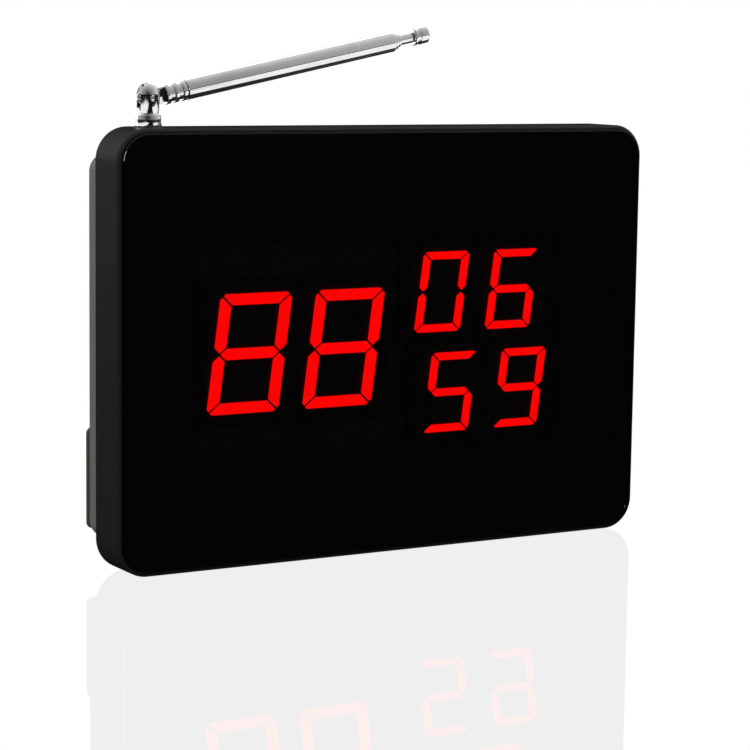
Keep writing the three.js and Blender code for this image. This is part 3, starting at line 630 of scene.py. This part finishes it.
def housingRows(s):
    front, back = caseLow.y, caseHigh.y
    seatFloor = front + s["seatDepth"]
    inside = seatFloor + s["floor"]
    start = math.degrees(math.acos((s["edge"] - s["seat"]) / s["edge"]))
    rows = [(s["seat"] + 1.2 * mm, seatFloor), (s["seat"], seatFloor)]
    angles = [start * (1 - step / 10) for step in range(11)]
    arc = [(inset, front + s["edge"] - rise) for inset, rise in roundedOver(s["edge"], angles)]
    rows += [(s["seat"], arc[0][1] + 0.12 * mm), (s["seat"] - 0.06 * mm, arc[0][1] + 0.02 * mm)]
    rows += arc[1:]
    rows += [(0, front + s["edge"] + 0.3 * mm), (0, back - s["rim"] - 0.3 * mm), (0, back - s["rim"])]
    rows += [(s["rim"], back), (s["wall"] - s["rim"], back), (s["wall"], back - s["rim"])]
    return rows + [(s["wall"], inside), (s["wall"] + 1 * mm, inside)]


def buildHousing(s):
    size = (caseHalfWidth, caseHalfHeight, s["corner"])
    shell = insetLoft("housing", (caseMiddle.x, caseMiddle.z), size, housingRows(s), 16)
    inside = caseLow.y + s["seatDepth"] + s["floor"]
    lipFront = coverLow.y
    post = rod("post", s["bossRadius"], inside - 1 * mm, lipFront - 0.3 * mm)
    shell = worked(joinCopies, shell, post, caseBlack, screwPlaces)
    bore = rod("bore", s["hole"], inside + 1 * mm, lipFront + 1 * mm)
    shell = worked(cutCopies, shell, bore, caseBlack, screwPlaces)
    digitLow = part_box("big_digit_1")[0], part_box("small_digit_3")[0]
    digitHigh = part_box("small_digit_2")[1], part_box("small_digit_4")[1]
    left, right = digitLow[0].x - 2 * mm, digitHigh[1].x + 2 * mm
    bottom, top = digitLow[1].z - 2 * mm, digitHigh[0].z + 2 * mm
    size = ((right - left) / 2, (top - bottom) / 2, 1 * mm)
    window = loft("aperture", ((left + right) / 2, (bottom + top) / 2), [
        (*size, caseLow.y), (*size, inside + 1 * mm),
    ], 4)
    shell = worked(cutCopies, shell, window, caseBlack)
    mast = centreOf("antenna_bushing")
    foot, over = caseHigh.z - 4 * mm, caseHigh.z + 1 * mm
    hole = rod("hole", s["mastHole"], foot, over, "z", (mast.x, mast.y, 0), 48)
    shell = worked(cutCopies, shell, hole, caseBlack)
    piece(shell, "caseFront", caseBlack, "receiver_case", ["front_housing"])


buildHousing(housing)
print("front housing built")


# The gloss front.
panel = {"corner": 13 * mm, "edge": 0.8 * mm}


def buildPanel(s):
    size = ((panelHigh.x - panelLow.x) / 2, (panelHigh.z - panelLow.z) / 2, s["corner"])
    front, back, edge = panelLow.y, panelHigh.y, s["edge"]
    rows = [(edge + 0.5 * mm, front), (edge + 0.02 * mm, front)]
    rows += [(edge - rise, front + drop) for drop, rise in roundedOver(edge, range(10, 91, 10))]
    rows += [(0, front + edge + 0.1 * mm), (0, back - 0.2 * mm), (0.2 * mm, back), (0.7 * mm, back)]
    mesh = insetLoft("panel", (caseMiddle.x, caseMiddle.z), size, rows, 16, 35)
    piece(mesh, "smokedFront", smokedPanel, "receiver_case", ["front_window"])


buildPanel(panel)
print("smoked panel built")


# The raised tray at the back and its openings.
cover = {
    "wall": 2.5 * mm, "corner": 8 * mm, "edge": 2.5 * mm, "trayInset": 3 * mm, "trayEnd": 12.5 * mm,
    "lip": 2 * mm, "lipInset": 2.9 * mm, "lipCorner": 12.1 * mm, "postRadius": 5 * mm, "well": 3.2 * mm,
    "seat": 4 * mm, "screwHole": 1.8 * mm, "chamfer": 0.35 * mm, "socket": 4.2 * mm, "socketFlare": 0.3 * mm,
}
grille = {"count": 7, "pitch": 5.4 * mm, "width": 2.4 * mm, "reach": 20 * mm}
vents = {"count": 8, "pitch": 7 * mm, "width": 2.2 * mm, "reach": 11 * mm, "x": -45 * mm, "z": 120 * mm}
hangers = {"x": 90 * mm, "z": 165 * mm, "head": 4.3 * mm, "slot": 4.4 * mm, "rise": 8 * mm}
keys = {
    "halfWidth": 4.5 * mm, "halfHeight": 3 * mm, "corner": 1.5 * mm, "edge": 0.6 * mm, "crown": 0.25 * mm,
    "flange": 1.5 * mm, "flangeThickness": 1.2 * mm, "stem": 1.8 * mm, "gap": 0.3 * mm,
}
keyNames = ("function", "up", "down", "enter")


def mouthTool(name, radius, inner, outer, chamfer, sides=24):
    # A round cutter whose mouth flares by the chamfer where it leaves the outer face.
    return turned(name, [
        (0, inner), (radius, inner), (radius, outer - chamfer), (radius + 2 * chamfer, outer + chamfer),
        (0, outer + chamfer),
    ], "y", sides=sides)


def buildCover(s):
    lipFront, back = coverLow.y, coverHigh.y
    lipBack, inside = lipFront + s["lip"], back - s["wall"]
    trayWidth, trayHeight = caseHalfWidth - s["trayInset"], caseHalfHeight - s["trayEnd"]
    lipWidth, lipHeight = caseHalfWidth - s["lipInset"], caseHalfHeight - s["lipInset"]
    corner, edge, wall = s["corner"], s["edge"], s["wall"]
    tray, lip = (trayWidth, trayHeight, corner), (lipWidth, lipHeight, s["lipCorner"])
    hollow = (trayWidth - wall, trayHeight - wall, corner - wall)
    rows = [
        (*(half - 1 * mm for half in hollow), inside), (*hollow, inside), (*hollow, lipFront),
        (lipWidth - 0.1 * mm, lipHeight - 0.1 * mm, s["lipCorner"], lipFront),
        (*lip, lipFront + 0.1 * mm), (*lip, lipBack - 0.06 * mm),
        (lipWidth - 0.05 * mm, lipHeight - 0.05 * mm, s["lipCorner"], lipBack),
        (*tray, lipBack), (*tray, lipBack + 0.3 * mm), (*tray, back - edge - 0.3 * mm),
    ]
    for drop, rise in roundedOver(edge, range(0, 91, 9)):
        rows.append((*(half - drop for half in tray), back - edge + rise))
    rows.append((*(half - edge - 0.5 * mm for half in tray), back))
    shell = loft("cover", (caseMiddle.x, caseMiddle.z), rows, 16)
    post = rod("post", s["postRadius"], lipFront, inside + 1 * mm, sides=48)
    shell = worked(joinCopies, shell, post, coverGrey, screwPlaces)
    seat = lipFront + s["seat"]
    well = mouthTool("well", s["well"], seat, back, s["chamfer"], 48)
    shell = worked(cutCopies, shell, well, coverGrey, screwPlaces)
    hole = rod("hole", s["screwHole"], lipFront - 1 * mm, seat + 1 * mm)
    shell = worked(cutCopies, shell, hole, coverGrey, screwPlaces)
    shell = cutKeyWindows(shell, inside, back, 0.0, coverGrey)
    shell = cutHangers(shell, hangers, inside, back, s["chamfer"])
    shell = cutSlots(shell, grille, centreOf("speaker_basket"), (0, 0, 0), 1.0, inside, back, s["chamfer"])
    ventCentre = Vector((vents["x"], 0, vents["z"]))
    shell = cutSlots(shell, vents, ventCentre, (0, math.pi / 2, 0), 0.0, inside, back, s["chamfer"])
    jack = centreOf("dc_jack_pin")
    start, flare = trayWidth - wall - 1 * mm, s["socketFlare"]
    socket = turned("socket", [
        (0, start), (s["socket"], start), (s["socket"], trayWidth - flare),
        (s["socket"] + 2 * flare, trayWidth + flare), (0, trayWidth + flare),
    ], "x", (0, jack.y, jack.z), 48)
    shell = worked(cutCopies, shell, socket, coverGrey)
    piece(shell, "backCover", coverGrey, "receiver_case", ["rear_cover"])


def cutKeyWindows(shell, inside, back, chamfer, material):
    size = [keys[part] + keys["gap"] for part in ("halfWidth", "halfHeight", "corner")]
    mouth = [half + 2 * chamfer for half in size]
    tool = loft("keyWindow", (0, 0), [
        (*size, inside - 1 * mm), (*size, back - chamfer), (*mouth, back + max(chamfer, 0.2 * mm)),
    ], 8)
    places = [(centreOf("key_" + name).x, 0, centreOf("key_" + name).z) for name in keyNames]
    return worked(cutCopies, shell, tool, material, places)


def cutHangers(shell, s, inside, back, chamfer):
    for radius, rise in ((s["head"], 0), (s["slot"] / 2, s["rise"])):
        tool = mouthTool("keyhole", radius, inside - 1 * mm, back, chamfer, 48)
        for vertex in tool.vertices:
            vertex.co.z += rise if vertex.co.z > 0 else 0
        places = [(side * s["x"], 0, s["z"]) for side in (-1, 1)]
        shell = worked(cutCopies, shell, tool, coverGrey, places)
    return shell


def cutSlots(shell, s, centre, turn, bow, inside, back, chamfer):
    tool = holder(mouthTool("slot", s["width"] / 2, inside - 1 * mm, back, chamfer), "slot")
    made = grown(slotRow, shell, {
        "Tool": tool, "Count": s["count"], "Pitch": s["pitch"], "Reach": s["reach"], "Bow": bow,
        "Width": s["width"], "Centre": (centre.x, 0.0, centre.z), "Turn": turn, "Material": coverGrey,
    })
    bpy.data.objects.remove(tool)
    return made


buildCover(cover)
print("back cover built")


# Pan-head screws with a cross recess.
screw = {
    "headRadius": 2.9 * mm, "headHeight": 2 * mm, "rim": 0.5 * mm, "shank": 1.5 * mm,
    "recess": 0.45 * mm, "reach": 1.75 * mm,
}


def buildScrews(s):
    low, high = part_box("cover_screw_1")
    top, seat = high.y, high.y - s["headHeight"]
    crown = []
    for angle in range(0, 90, 15):
        turn, rise = math.radians(angle), s["headHeight"] - s["rim"]
        crown.append((s["headRadius"] * math.cos(turn), seat + s["rim"] + rise * math.sin(turn)))
    body = turned("screw", [
        (0, low.y), (s["shank"], low.y + 0.8 * mm), (s["shank"], seat),
        (s["headRadius"], seat), *crown, (0, top),
    ], "y", sides=40)
    foot, mouth = (s["reach"] * 0.7, s["recess"] * 0.6), (s["reach"], s["recess"])
    for way in (1, -1):
        arm = loft("arm", (0, 0), [
            (*foot[::way], 0.1 * mm, top - 1.3 * mm), (*mouth[::way], 0.1 * mm, top + 1 * mm),
        ], 2)
        body = worked(cutCopies, body, arm, screwZinc)
    mesh = worked(keepCopies, pointsMesh("base", []), body, screwZinc, screwPlaces)
    piece(mesh, "coverScrews", screwZinc, "receiver_case", screwNodes)


buildScrews(screw)
print("cover screws built")


# The dark plate round the keys.
plate = {"corner": 3 * mm, "edge": 0.6 * mm, "chamfer": 0.3 * mm}


def buildPlate(s):
    low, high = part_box("key_plate")
    size, edge = ((high.x - low.x) / 2, (high.z - low.z) / 2, s["corner"]), s["edge"]
    rows = [(edge, low.y), (0, low.y + edge)]
    rows += [(drop, high.y - edge + rise) for drop, rise in roundedOver(edge, range(0, 91, 15))]
    rows.append((edge + 0.4 * mm, high.y))
    mesh = insetLoft("plate", ((low.x + high.x) / 2, (low.z + high.z) / 2), size, rows)
    mesh = cutKeyWindows(mesh, low.y, high.y, s["chamfer"], plateDark)
    reach = mouthTool("reach", cover["well"], low.y - 1 * mm, high.y, s["chamfer"], 48)
    lowest = [place for place in screwPlaces if place[2] < high.z]
    mesh = worked(cutCopies, mesh, reach, plateDark, lowest)
    piece(mesh, "keyPlate", plateDark, "receiver_case", ["key_plate"])


buildPlate(plate)
print("key plate built")


def buildKey(name, s):
    low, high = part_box("key_" + name)
    x, z = (low.x + high.x) / 2, (low.z + high.z) / 2
    flangeBack = coverHigh.y - cover["wall"] - s["gap"]
    flangeFront = flangeBack - s["flangeThickness"]
    top, edge, stem = high.y - s["crown"], s["edge"], s["stem"]
    cap = (s["halfWidth"], s["halfHeight"], s["corner"])
    flange = [half + s["flange"] for half in cap]
    rows = [
        (stem * 0.99, stem * 0.99, stem * 0.98, low.y), (stem, stem, stem * 0.99, low.y + 0.1 * mm),
        (stem, stem, stem * 0.99, flangeFront), (*flange, flangeFront), (*flange, flangeBack),
        (*cap, flangeBack), (*cap, top - edge - 0.1 * mm),
    ]
    for drop, rise in roundedOver(edge, range(0, 90, 15)):
        rows.append((*(half - drop for half in cap), top - edge + rise))
    for share in (0.85, 0.6, 0.35, 0.12):
        rows.append((*((half - edge) * share for half in cap), top + s["crown"] * (1 - share * share)))
    mesh = loft("key", (x, z), rows, 8, 40)
    piece(mesh, name + "Key", keyCap, name + "_key", ["key_" + name])


for name in keyNames:
    buildKey(name, keys)
print("keys built")


lean = math.tan(math.radians(7.5))
bigDigit = {
    "width": 36.4 * mm, "height": 54.6 * mm, "stroke": 5.7 * mm, "bar": 5.1 * mm,
    "cut": 1 * mm, "corner": 2.6 * mm,
}
smallDigit = {
    "width": 25.2 * mm, "height": 37.9 * mm, "stroke": 4 * mm, "bar": 3.6 * mm,
    "cut": 0.8 * mm, "corner": 1.8 * mm,
}
relief = {"raised": 0.6 * mm, "round": 0.12 * mm}
shown = (
    ("big_segments_1", bigDigit, "abcdefg"), ("big_segments_2", bigDigit, "abcdefg"),
    ("small_segments_1", smallDigit, "abcdef"), ("small_segments_2", smallDigit, "acdefg"),
    ("small_segments_3", smallDigit, "acdfg"), ("small_segments_4", smallDigit, "abcdfg"),
)


def strokeOutlines(s):
    w, h, u, t = s["width"] / 2, s["height"] / 2, s["stroke"], s["bar"]
    c, k = s["cut"] * math.sqrt(0.5), s["corner"]
    top = [(k - w, h), (w - k, h), (w - (k + c) / 2, h - (k - c) / 2), (w - u - c, h - t),
           (u + c - w, h - t), ((k + c) / 2 - w, h - (k - c) / 2)]
    upper = [(w - (k - c) / 2, h - (k + c) / 2), (w, h - k), (w, t / 2 + c), (w - u / 2, c),
             (w - u, t / 2 + c), (w - u, h - t - c)]
    centre = [(-w + u / 2 + c, 0), (-w + u + c, t / 2), (w - u - c, t / 2),
              (w - u / 2 - c, 0), (w - u - c, -t / 2), (-w + u + c, -t / 2)]

    def mirrored(points, x=1, z=1):
        return [(x * a, z * b) for a, b in points]
    return {
        "a": top, "b": upper, "c": mirrored(upper, z=-1), "d": mirrored(top, z=-1),
        "e": mirrored(upper, -1, -1), "f": mirrored(upper, -1), "g": centre,
    }


def shrunk(points, amount):
    # Moves each side of a small outline inwards by the same amount.
    area = sum(a[0] * b[1] - b[0] * a[1] for a, b in zip(points, points[1:] + points[:1]))
    sign = 1 if area > 0 else -1
    moved = []
    for index, point in enumerate(points):
        before, after = Vector(points[index - 1]), Vector(points[(index + 1) % len(points)])
        here = Vector(point)
        first, second = (here - before).normalized(), (after - here).normalized()
        normal = Vector((-first.y - second.y, first.x + second.x)).normalized() * sign
        cosine = max(0.3, abs(normal.dot(Vector((-first.y, first.x)))))
        moved.append(here + normal * amount / cosine)
    return moved


def buildDigit(node, s, lit):
    low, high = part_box(node)
    x0, z0 = (low.x + high.x) / 2, (low.z + high.z) / 2
    front = low.y
    back = front + relief["raised"]
    soft = relief["round"]
    outlines = strokeOutlines(s)

    def strokes(work, letters):
        for letter in letters:
            points = outlines[letter]
            rings = []
            for amount, y in ((soft, front), (soft * 0.3, front + soft * 0.3), (0, front + soft), (0, back)):
                rings.append([(x0 + x + z * lean, y, z0 + z) for x, z in shrunk(points, amount)])
            addRings(work, rings)

    def plate(work):
        strokes(work, [letter for letter in "abcdefg" if letter not in lit])
        halfWidth, halfHeight = (high.x - low.x) / 2, (high.z - low.z) / 2
        addRings(work, [
            [(x0 + x, y, z0 + z) for x, z in roundedRing(halfWidth - inset, halfHeight - inset, 1 * mm, 4)]
            for inset, y in ((0.3 * mm, back), (0, back + 0.3 * mm), (0, high.y))
        ])
    label = node.replace("_segments_", "Digit")
    rest = meshOf(label + "Face", plate)
    piece(rest, label + "Face", unlitRed, "receiver_case", [node])
    glow = meshOf(label + "Strokes", lambda work: strokes(work, lit))
    piece(glow, label + "Strokes", litRed, "receiver_case", [node])


for node, settings, lit in shown:
    buildDigit(node, settings, lit)
print("digits built")


# The antenna, all along one axis that leans up from the hinge.
mast = {"tilt": 11.75, "pivotHeight": 12.8 * mm, "sides": 96}
bushing = {
    "collar": 6 * mm, "height": 5.6 * mm, "neck": 3.556 * mm, "bore": 2.756 * mm, "length": 9.5 * mm,
    "threads": 11, "pitch": 0.75 * mm, "threadDepth": 0.25 * mm,
}
stud = {
    "radius": 5.1 * mm, "top": 19.7 * mm, "shaft": 2.356 * mm, "flare": 3.356 * mm, "flareHeight": 1.2 * mm,
    "slot": 4 * mm, "pinHole": 1.4 * mm, "bead": 0.35 * mm,
}
knuckle = {
    "thickness": 3.4 * mm, "height": 7.2 * mm, "start": 7.6 * mm, "end": 17.8 * mm, "plug": 4.05 * mm,
    "plugLength": 5 * mm, "ring": 4.7 * mm, "groove": 3.9 * mm, "bands": 5, "bead": 0.4 * mm,
}
tube = {
    "radius": 4.8 * mm, "wall": 0.5 * mm, "slip": 0.25 * mm, "start": 18.2 * mm, "end": 127.2 * mm,
    "step": 1.8 * mm, "neck": 5.5 * mm, "lip": 0.22 * mm, "inset": 23.4 * mm,
}
cap = {
    "start": 138.4 * mm, "radius": 4.1 * mm, "length": 7.8 * mm, "groove": 3.5 * mm,
    "spigot": 1.8 * mm, "spigotLength": 4 * mm,
}
mastPlace = centreOf("antenna_bushing")
mastX, mastY, mastFoot = mastPlace.x, mastPlace.y, caseHigh.z
pivot = Vector((mastX, mastY, mastFoot + mast["pivotHeight"]))
alongMast = Matrix.Translation(pivot) @ Matrix.Rotation(-math.radians(mast["tilt"]), 4, "Y")


def rolledEdge(radius, height, bead, direction):
    # A rounded shoulder that ends a turned band: direction 1 closes upwards, -1 opens from below.
    arc = [(radius - drop, height - direction * (bead - rise))
           for drop, rise in roundedOver(bead, range(0, 91, 18))]
    return arc if direction > 0 else arc[::-1]


def buildBushing(s):
    bore, neck, collar = s["bore"], s["neck"], s["collar"]
    foot, top = mastFoot - s["length"], mastFoot + s["height"]
    root = neck - s["threadDepth"]
    profile = [(bore, foot), (neck - 0.3 * mm, foot)]
    for turn in range(s["threads"]):
        base = foot + 0.3 * mm + turn * s["pitch"]
        profile += [(neck, base), (neck, base + 0.2 * mm), (root, base + 0.45 * mm)]
    base = mastFoot + 0.3 * mm
    profile += [(root, base)] + rolledEdge(collar, base, 0.3 * mm, -1) + rolledEdge(collar, top, 0.45 * mm, 1)
    profile += [(bore + 0.3 * mm, top), (bore, top - 0.3 * mm)]
    mesh = turned("bushing", profile, "z", (mastX, mastY, 0), mast["sides"], closed=True)
    piece(mesh, "mastBushing", mastChrome, "receiver_case", ["antenna_bushing"])


def buildStud(s):
    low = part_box("antenna_stud")[0].z
    bottom = mastFoot + bushing["height"] + 0.3 * mm
    top = mastFoot + s["top"]
    radius, shaft, flare, flareTop = s["radius"], s["shaft"], s["flare"], low + s["flareHeight"]
    shoulder = top - radius
    profile = [(0, low), (flare - 0.3 * mm, low), (flare, low + 0.3 * mm), (flare, flareTop)]
    profile += [(shaft, flareTop), (shaft, bottom)] + rolledEdge(radius, bottom, s["bead"], -1)
    profile += [(radius, shoulder - 0.3 * mm), (radius, shoulder)]
    profile += [(radius - drop, shoulder + rise) for drop, rise in roundedOver(radius, range(6, 90, 6))]
    mesh = turned("stud", profile + [(0, top)], "z", (mastX, mastY, 0), mast["sides"])
    slotBottom = pivot.z - knuckle["height"] / 2 - 0.7 * mm
    reach = radius * 2

    def slotTool(work):
        half = s["slot"] / 2
        addRings(work, [
            [(mastX + side * reach, mastY + y, z) for y, z in (
                (-half, slotBottom), (half, slotBottom), (half, top + 2 * mm), (-half, top + 2 * mm))]
            for side in (-1, 1)
        ])
    mesh = worked(cutCopies, mesh, meshOf("slot", slotTool), mastChrome)
    pinHole = rod("pinHole", s["pinHole"], -reach, reach, "y", pivot, 48)
    mesh = worked(cutCopies, mesh, pinHole, mastChrome)
    piece(mesh, "mastStud", mastChrome, "antenna_swivel", ["antenna_stud"])


def buildPin():
    low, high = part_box("antenna_pin")
    radius = (high.x - low.x) / 2
    half = (high.y - low.y) / 2
    ends = rolledEdge(radius, -half, 0.3 * mm, -1) + rolledEdge(radius, half, 0.3 * mm, 1)
    profile = [(0, -half), *ends, (0, half)]
    mesh = turned("pin", profile, "y", pivot, 48)
    piece(mesh, "mastPin", mastChrome, "antenna_swivel", ["antenna_pin"])


def buildKnuckle(s):
    band, bead = (s["end"] - s["start"]) / s["bands"], s["bead"]
    profile = [(0, s["start"])]
    for order in range(s["bands"]):
        near = s["start"] + order * band
        if order % 2:
            profile += [(s["groove"], near + 0.02 * mm), (s["groove"], near + band - 0.02 * mm)]
        else:
            profile += rolledEdge(s["ring"], near, bead, -1) + rolledEdge(s["ring"], near + band, bead, 1)
    end, plug, plugEnd = s["end"], s["plug"], s["end"] + s["plugLength"]
    profile += [(plug, end), (plug, plugEnd - 0.3 * mm), (plug - 0.3 * mm, plugEnd), (0, plugEnd)]
    ferrule = turned("ferrule", profile, "x", (0, 0, 0), mast["sides"])
    half, reach = s["height"] / 2, s["start"] + 1 * mm

    def tongue(work):
        outline = [(half * math.cos(math.radians(angle)), half * math.sin(math.radians(angle)))
                   for angle in range(90, 271, 6)]
        outline += [(reach, -half), (reach, half)]
        middle = s["thickness"] / 2
        rings = []
        for inset, y in ((0.35 * mm, -middle), (0.1 * mm, -middle + 0.1 * mm), (0, -middle + 0.35 * mm),
                         (0, middle - 0.35 * mm), (0.1 * mm, middle - 0.1 * mm), (0.35 * mm, middle)):
            share = 1 - inset / half
            rings.append([(x * (share if x < 0 else 1), y, z * share) for x, z in outline])
        addRings(work, rings)
    mesh = worked(joinCopies, ferrule, meshOf("tongue", tongue), mastChrome)
    eye = rod("eye", stud["pinHole"], -half, half, sides=48)
    mesh = worked(cutCopies, mesh, eye, mastChrome)
    mesh.transform(alongMast)
    piece(mesh, "mastKnuckle", mastChrome, "mast_base", ["antenna_knuckle"])


def buildTubes(s):
    bodies = ("mast_base", "mast_second", "mast_third", "mast_tip")
    for order, body in enumerate(bodies):
        last = order == len(bodies) - 1
        end = s["end"] + (s["neck"] if last else 0)
        start = s["start"] if order == 0 else s["inset"]
        values = {key.capitalize(): s[key] for key in ("radius", "wall", "slip", "step", "lip")}
        values.update(Order=float(order), Start=start, End=end, Sides=mast["sides"], Material=mastChrome)
        mesh = grown(drawnTube, bpy.data.meshes.new("tube"), values)
        work = bmesh.new()
        work.from_mesh(mesh)
        bmesh.ops.recalc_face_normals(work, faces=work.faces)
        work.to_mesh(mesh)
        work.free()
        smooth(mesh)
        mesh.transform(alongMast)
        piece(mesh, f"mastTube{order + 1}", mastChrome, body, [f"antenna_tube_{order + 1}"])


def buildCap(s):
    start, radius, spigot = s["start"], s["radius"], s["spigot"]
    foot, end = start - s["spigotLength"], start + s["length"]
    profile = [(0, foot), (spigot - 0.2 * mm, foot), (spigot, foot + 0.2 * mm), (spigot, start)]
    profile += rolledEdge(radius, start, 0.5 * mm, -1) + rolledEdge(radius, start + 1.4 * mm, 0.3 * mm, 1)
    profile += [(s["groove"], start + 1.6 * mm), (s["groove"], start + 2.8 * mm)]
    profile += rolledEdge(radius, start + 3 * mm, 0.3 * mm, -1) + rolledEdge(radius, end, 0.9 * mm, 1)
    profile += [(0.6 * radius, end), (0, end)]
    mesh = turned("cap", profile, "x", (0, 0, 0), mast["sides"])
    mesh.transform(alongMast)
    piece(mesh, "mastCap", mastChrome, "mast_tip", ["antenna_cap"])


buildBushing(bushing)
buildStud(stud)
buildPin()
buildKnuckle(knuckle)
buildTubes(tube)
buildCap(cap)
print("antenna built")


# Inner pieces keep their shape and get these finishes.
innerFinishes = {
    tapeFoam: ["window_tape", "speaker_gasket"],
    digitBlack: ["big_digit_1", "big_digit_2"] + [f"small_digit_{order}" for order in (1, 2, 3, 4)],
    boardGreen: ["display_board", "control_board", "radio_module"],
    screwZinc: ["display_screw_1", "display_screw_2", "speaker_basket", "speaker_magnet"]
    + [f"board_screw_{order}" for order in (1, 2, 3, 4)],
    partBlack: ["board_header", "microcontroller", "reservoir_capacitor", "dc_jack"]
    + [f"tact_switch_{order}" for order in (1, 2, 3, 4)],
    contactBrass: ["dc_jack_pin", "antenna_nut", "antenna_lug"],
    conePulp: ["speaker_cone"],
    leadSleeve: ["antenna_lead", "speaker_lead"],
}
for material, nodes in innerFinishes.items():
    for node in nodes:
        mesh = frame["nodes"][node].data
        mesh.materials.clear()
        mesh.materials.append(material)
print("inner pieces finished")


stage = {
    "floor": 12.0, "back": 2.15, "drop": 0.3 * mm, "white": 0.86, "mirror": 0.14, "fill": 0.55, "below": 0.006,
    "sky": (
        (0.0, 0.03), (0.02, 0.08), (0.06, 0.16), (0.25, 0.34),
        (0.45, 0.5), (0.7, 0.75), (0.82, 0.5), (0.91, 0.02),
    ),
}
lamps = {  # place, size and power
    "keyLeft": ((-1.3, -0.5, 0.9), (0.7, 0.7), 7),
    "fillRight": ((1.4, 0.2, 1.0), (0.8, 0.8), 8),
    "backLeft": ((-1.0, 1.2, 0.8), (0.8, 0.8), 9),
    "topRim": ((0, 0.1, 1.6), (0.9, 0.5), 4),
}
cards = {  # two corners; the antenna alone reflects them, and the floor the one behind
    "cardBack": ((-3, 2.2, -0.6), (5, 2.2, 5)),
    "cardNear": ((-0.12, -0.7, -0.02), (0.6, 0.02, -0.02)),
    "cardFar": ((-0.9, 0.8, -0.02), (0.41, 2.15, -0.02)),
    "cardRight": ((0.61, -2.2, -0.021), (2.6, 2.2, -0.021)),
    "cardFront": ((0.41, -2.2, -0.022), (0.61, -0.7, -0.022)),
    "cardLeft": ((-2.6, -2.2, -0.02), (-0.9, 2.2, -0.02)),
}
mastPieces = [item for item in scene.objects if item.name.startswith("mast")]


def buildFloor(s):
    size, back, z = s["floor"], s["back"], -s["drop"]
    corners = [(-size, -size, z), (size, -size, z), (size, back, z), (-size, back, z)]
    mesh = pointsMesh("floor", corners, [(0, 1, 2, 3)])
    material = bpy.data.materials.new("paleFloor")
    board = emptyBoard(material)
    glow = board.node("ShaderNodeEmission", {}, {"Color": (1, 1, 1, 1), "Strength": s["white"]})
    mirror = board.node("ShaderNodeBsdfGlossy", {}, {"Color": (s["mirror"],) * 3 + (1,), "Roughness": 0.02})
    both = board.node("ShaderNodeAddShader", {}, {0: glow, 1: mirror})
    board.node("ShaderNodeOutputMaterial", {}, {"Surface": both})
    mesh.materials.append(material)
    floor = holder(mesh, "floor")
    floor.visible_glossy = floor.visible_diffuse = floor.visible_shadow = False
    floor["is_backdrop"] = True
    return floor


def buildWorld(s):
    # White to the camera. In reflections it is a grey sky, dark in front, whose brightness follows how
    # far a direction points away from the camera.
    world = bpy.data.worlds.new("studio")
    scene.world = world
    board = emptyBoard(world)
    paths = board.tree.nodes.new("ShaderNodeLightPath")
    isCamera = Wire(board, paths.outputs["Is Camera Ray"])
    isGlossy = Wire(board, paths.outputs["Is Glossy Ray"])
    way = board.node("ShaderNodeTexCoord", output="Generated")
    parts = board.tree.nodes.new("ShaderNodeSeparateXYZ")
    board.tree.links.new(way.socket, parts.inputs[0])
    x, y, z = (Wire(board, parts.outputs[axis]) for axis in "XYZ")
    away = x * 0.25 + y * 0.43 + 0.5
    sky = board.ramp(away, *s["sky"])
    glossy = (z > 0.0) * (sky - s["below"]) + s["below"]
    other = isGlossy * glossy + (1 - isGlossy) * s["fill"]
    strength = isCamera + (1 - isCamera) * other
    light = board.node("ShaderNodeBackground", {}, {"Color": (1, 1, 1, 1), "Strength": strength})
    board.node("ShaderNodeOutputWorld", {}, {"Surface": light})


def softbox(name, place, target, size, power, receivers=None, glossy=True, diffuse=True):
    data = bpy.data.lights.new(name, "AREA")
    data.shape = "RECTANGLE"
    data.size, data.size_y = size
    data.energy = power
    light = bpy.data.objects.new(name, data)
    way = Vector(target) - Vector(place)
    light.matrix_world = Matrix.Translation(place) @ way.to_track_quat("-Z", "Y").to_matrix().to_4x4()
    light.visible_camera = False
    light.visible_glossy, light.visible_diffuse = glossy, diffuse
    scene.collection.objects.link(light)
    if receivers:
        group = bpy.data.collections.new(name + "Receivers")
        for item in receivers:
            group.objects.link(item)
        light.light_linking.receiver_collection = group
    return light


def card(name, low, high, radiance, receivers):
    # An evenly bright sheet between two corners: flat ones face up, upright ones face the front.
    span = Vector(high) - Vector(low)
    flat = abs(span.z) < 1e-6
    size = (span.x, span.y if flat else span.z)
    made = softbox(name, low, high, size, radiance * math.pi * size[0] * size[1], receivers)
    axes = ((1, 0, 0), (0, -1, 0), (0, 0, -1)) if flat else ((1, 0, 0), (0, 0, -1), (0, 1, 0))
    made.matrix_world = Matrix.Translation(Vector(low) + span / 2) @ Matrix(axes).transposed().to_4x4()


floor = buildFloor(stage)
buildWorld(stage)
for name, (place, size, power) in lamps.items():
    softbox(name, place, (0, 0, 0.1), size, power, glossy=False)
softbox("cornerSpot", (-1.23, -0.62, 0.54), (-0.13, 0, 0.19), (1.2, 0.5), 40,
        [scene.objects["smokedFront"]], diffuse=False)
for name, (low, high) in cards.items():
    card(name, low, high, 1.0, mastPieces + ([floor] if name == "cardBack" else []))
scene.view_settings.view_transform = "Standard"
scene.view_settings.look = "None"
print("stage and lights ready")

low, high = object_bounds()
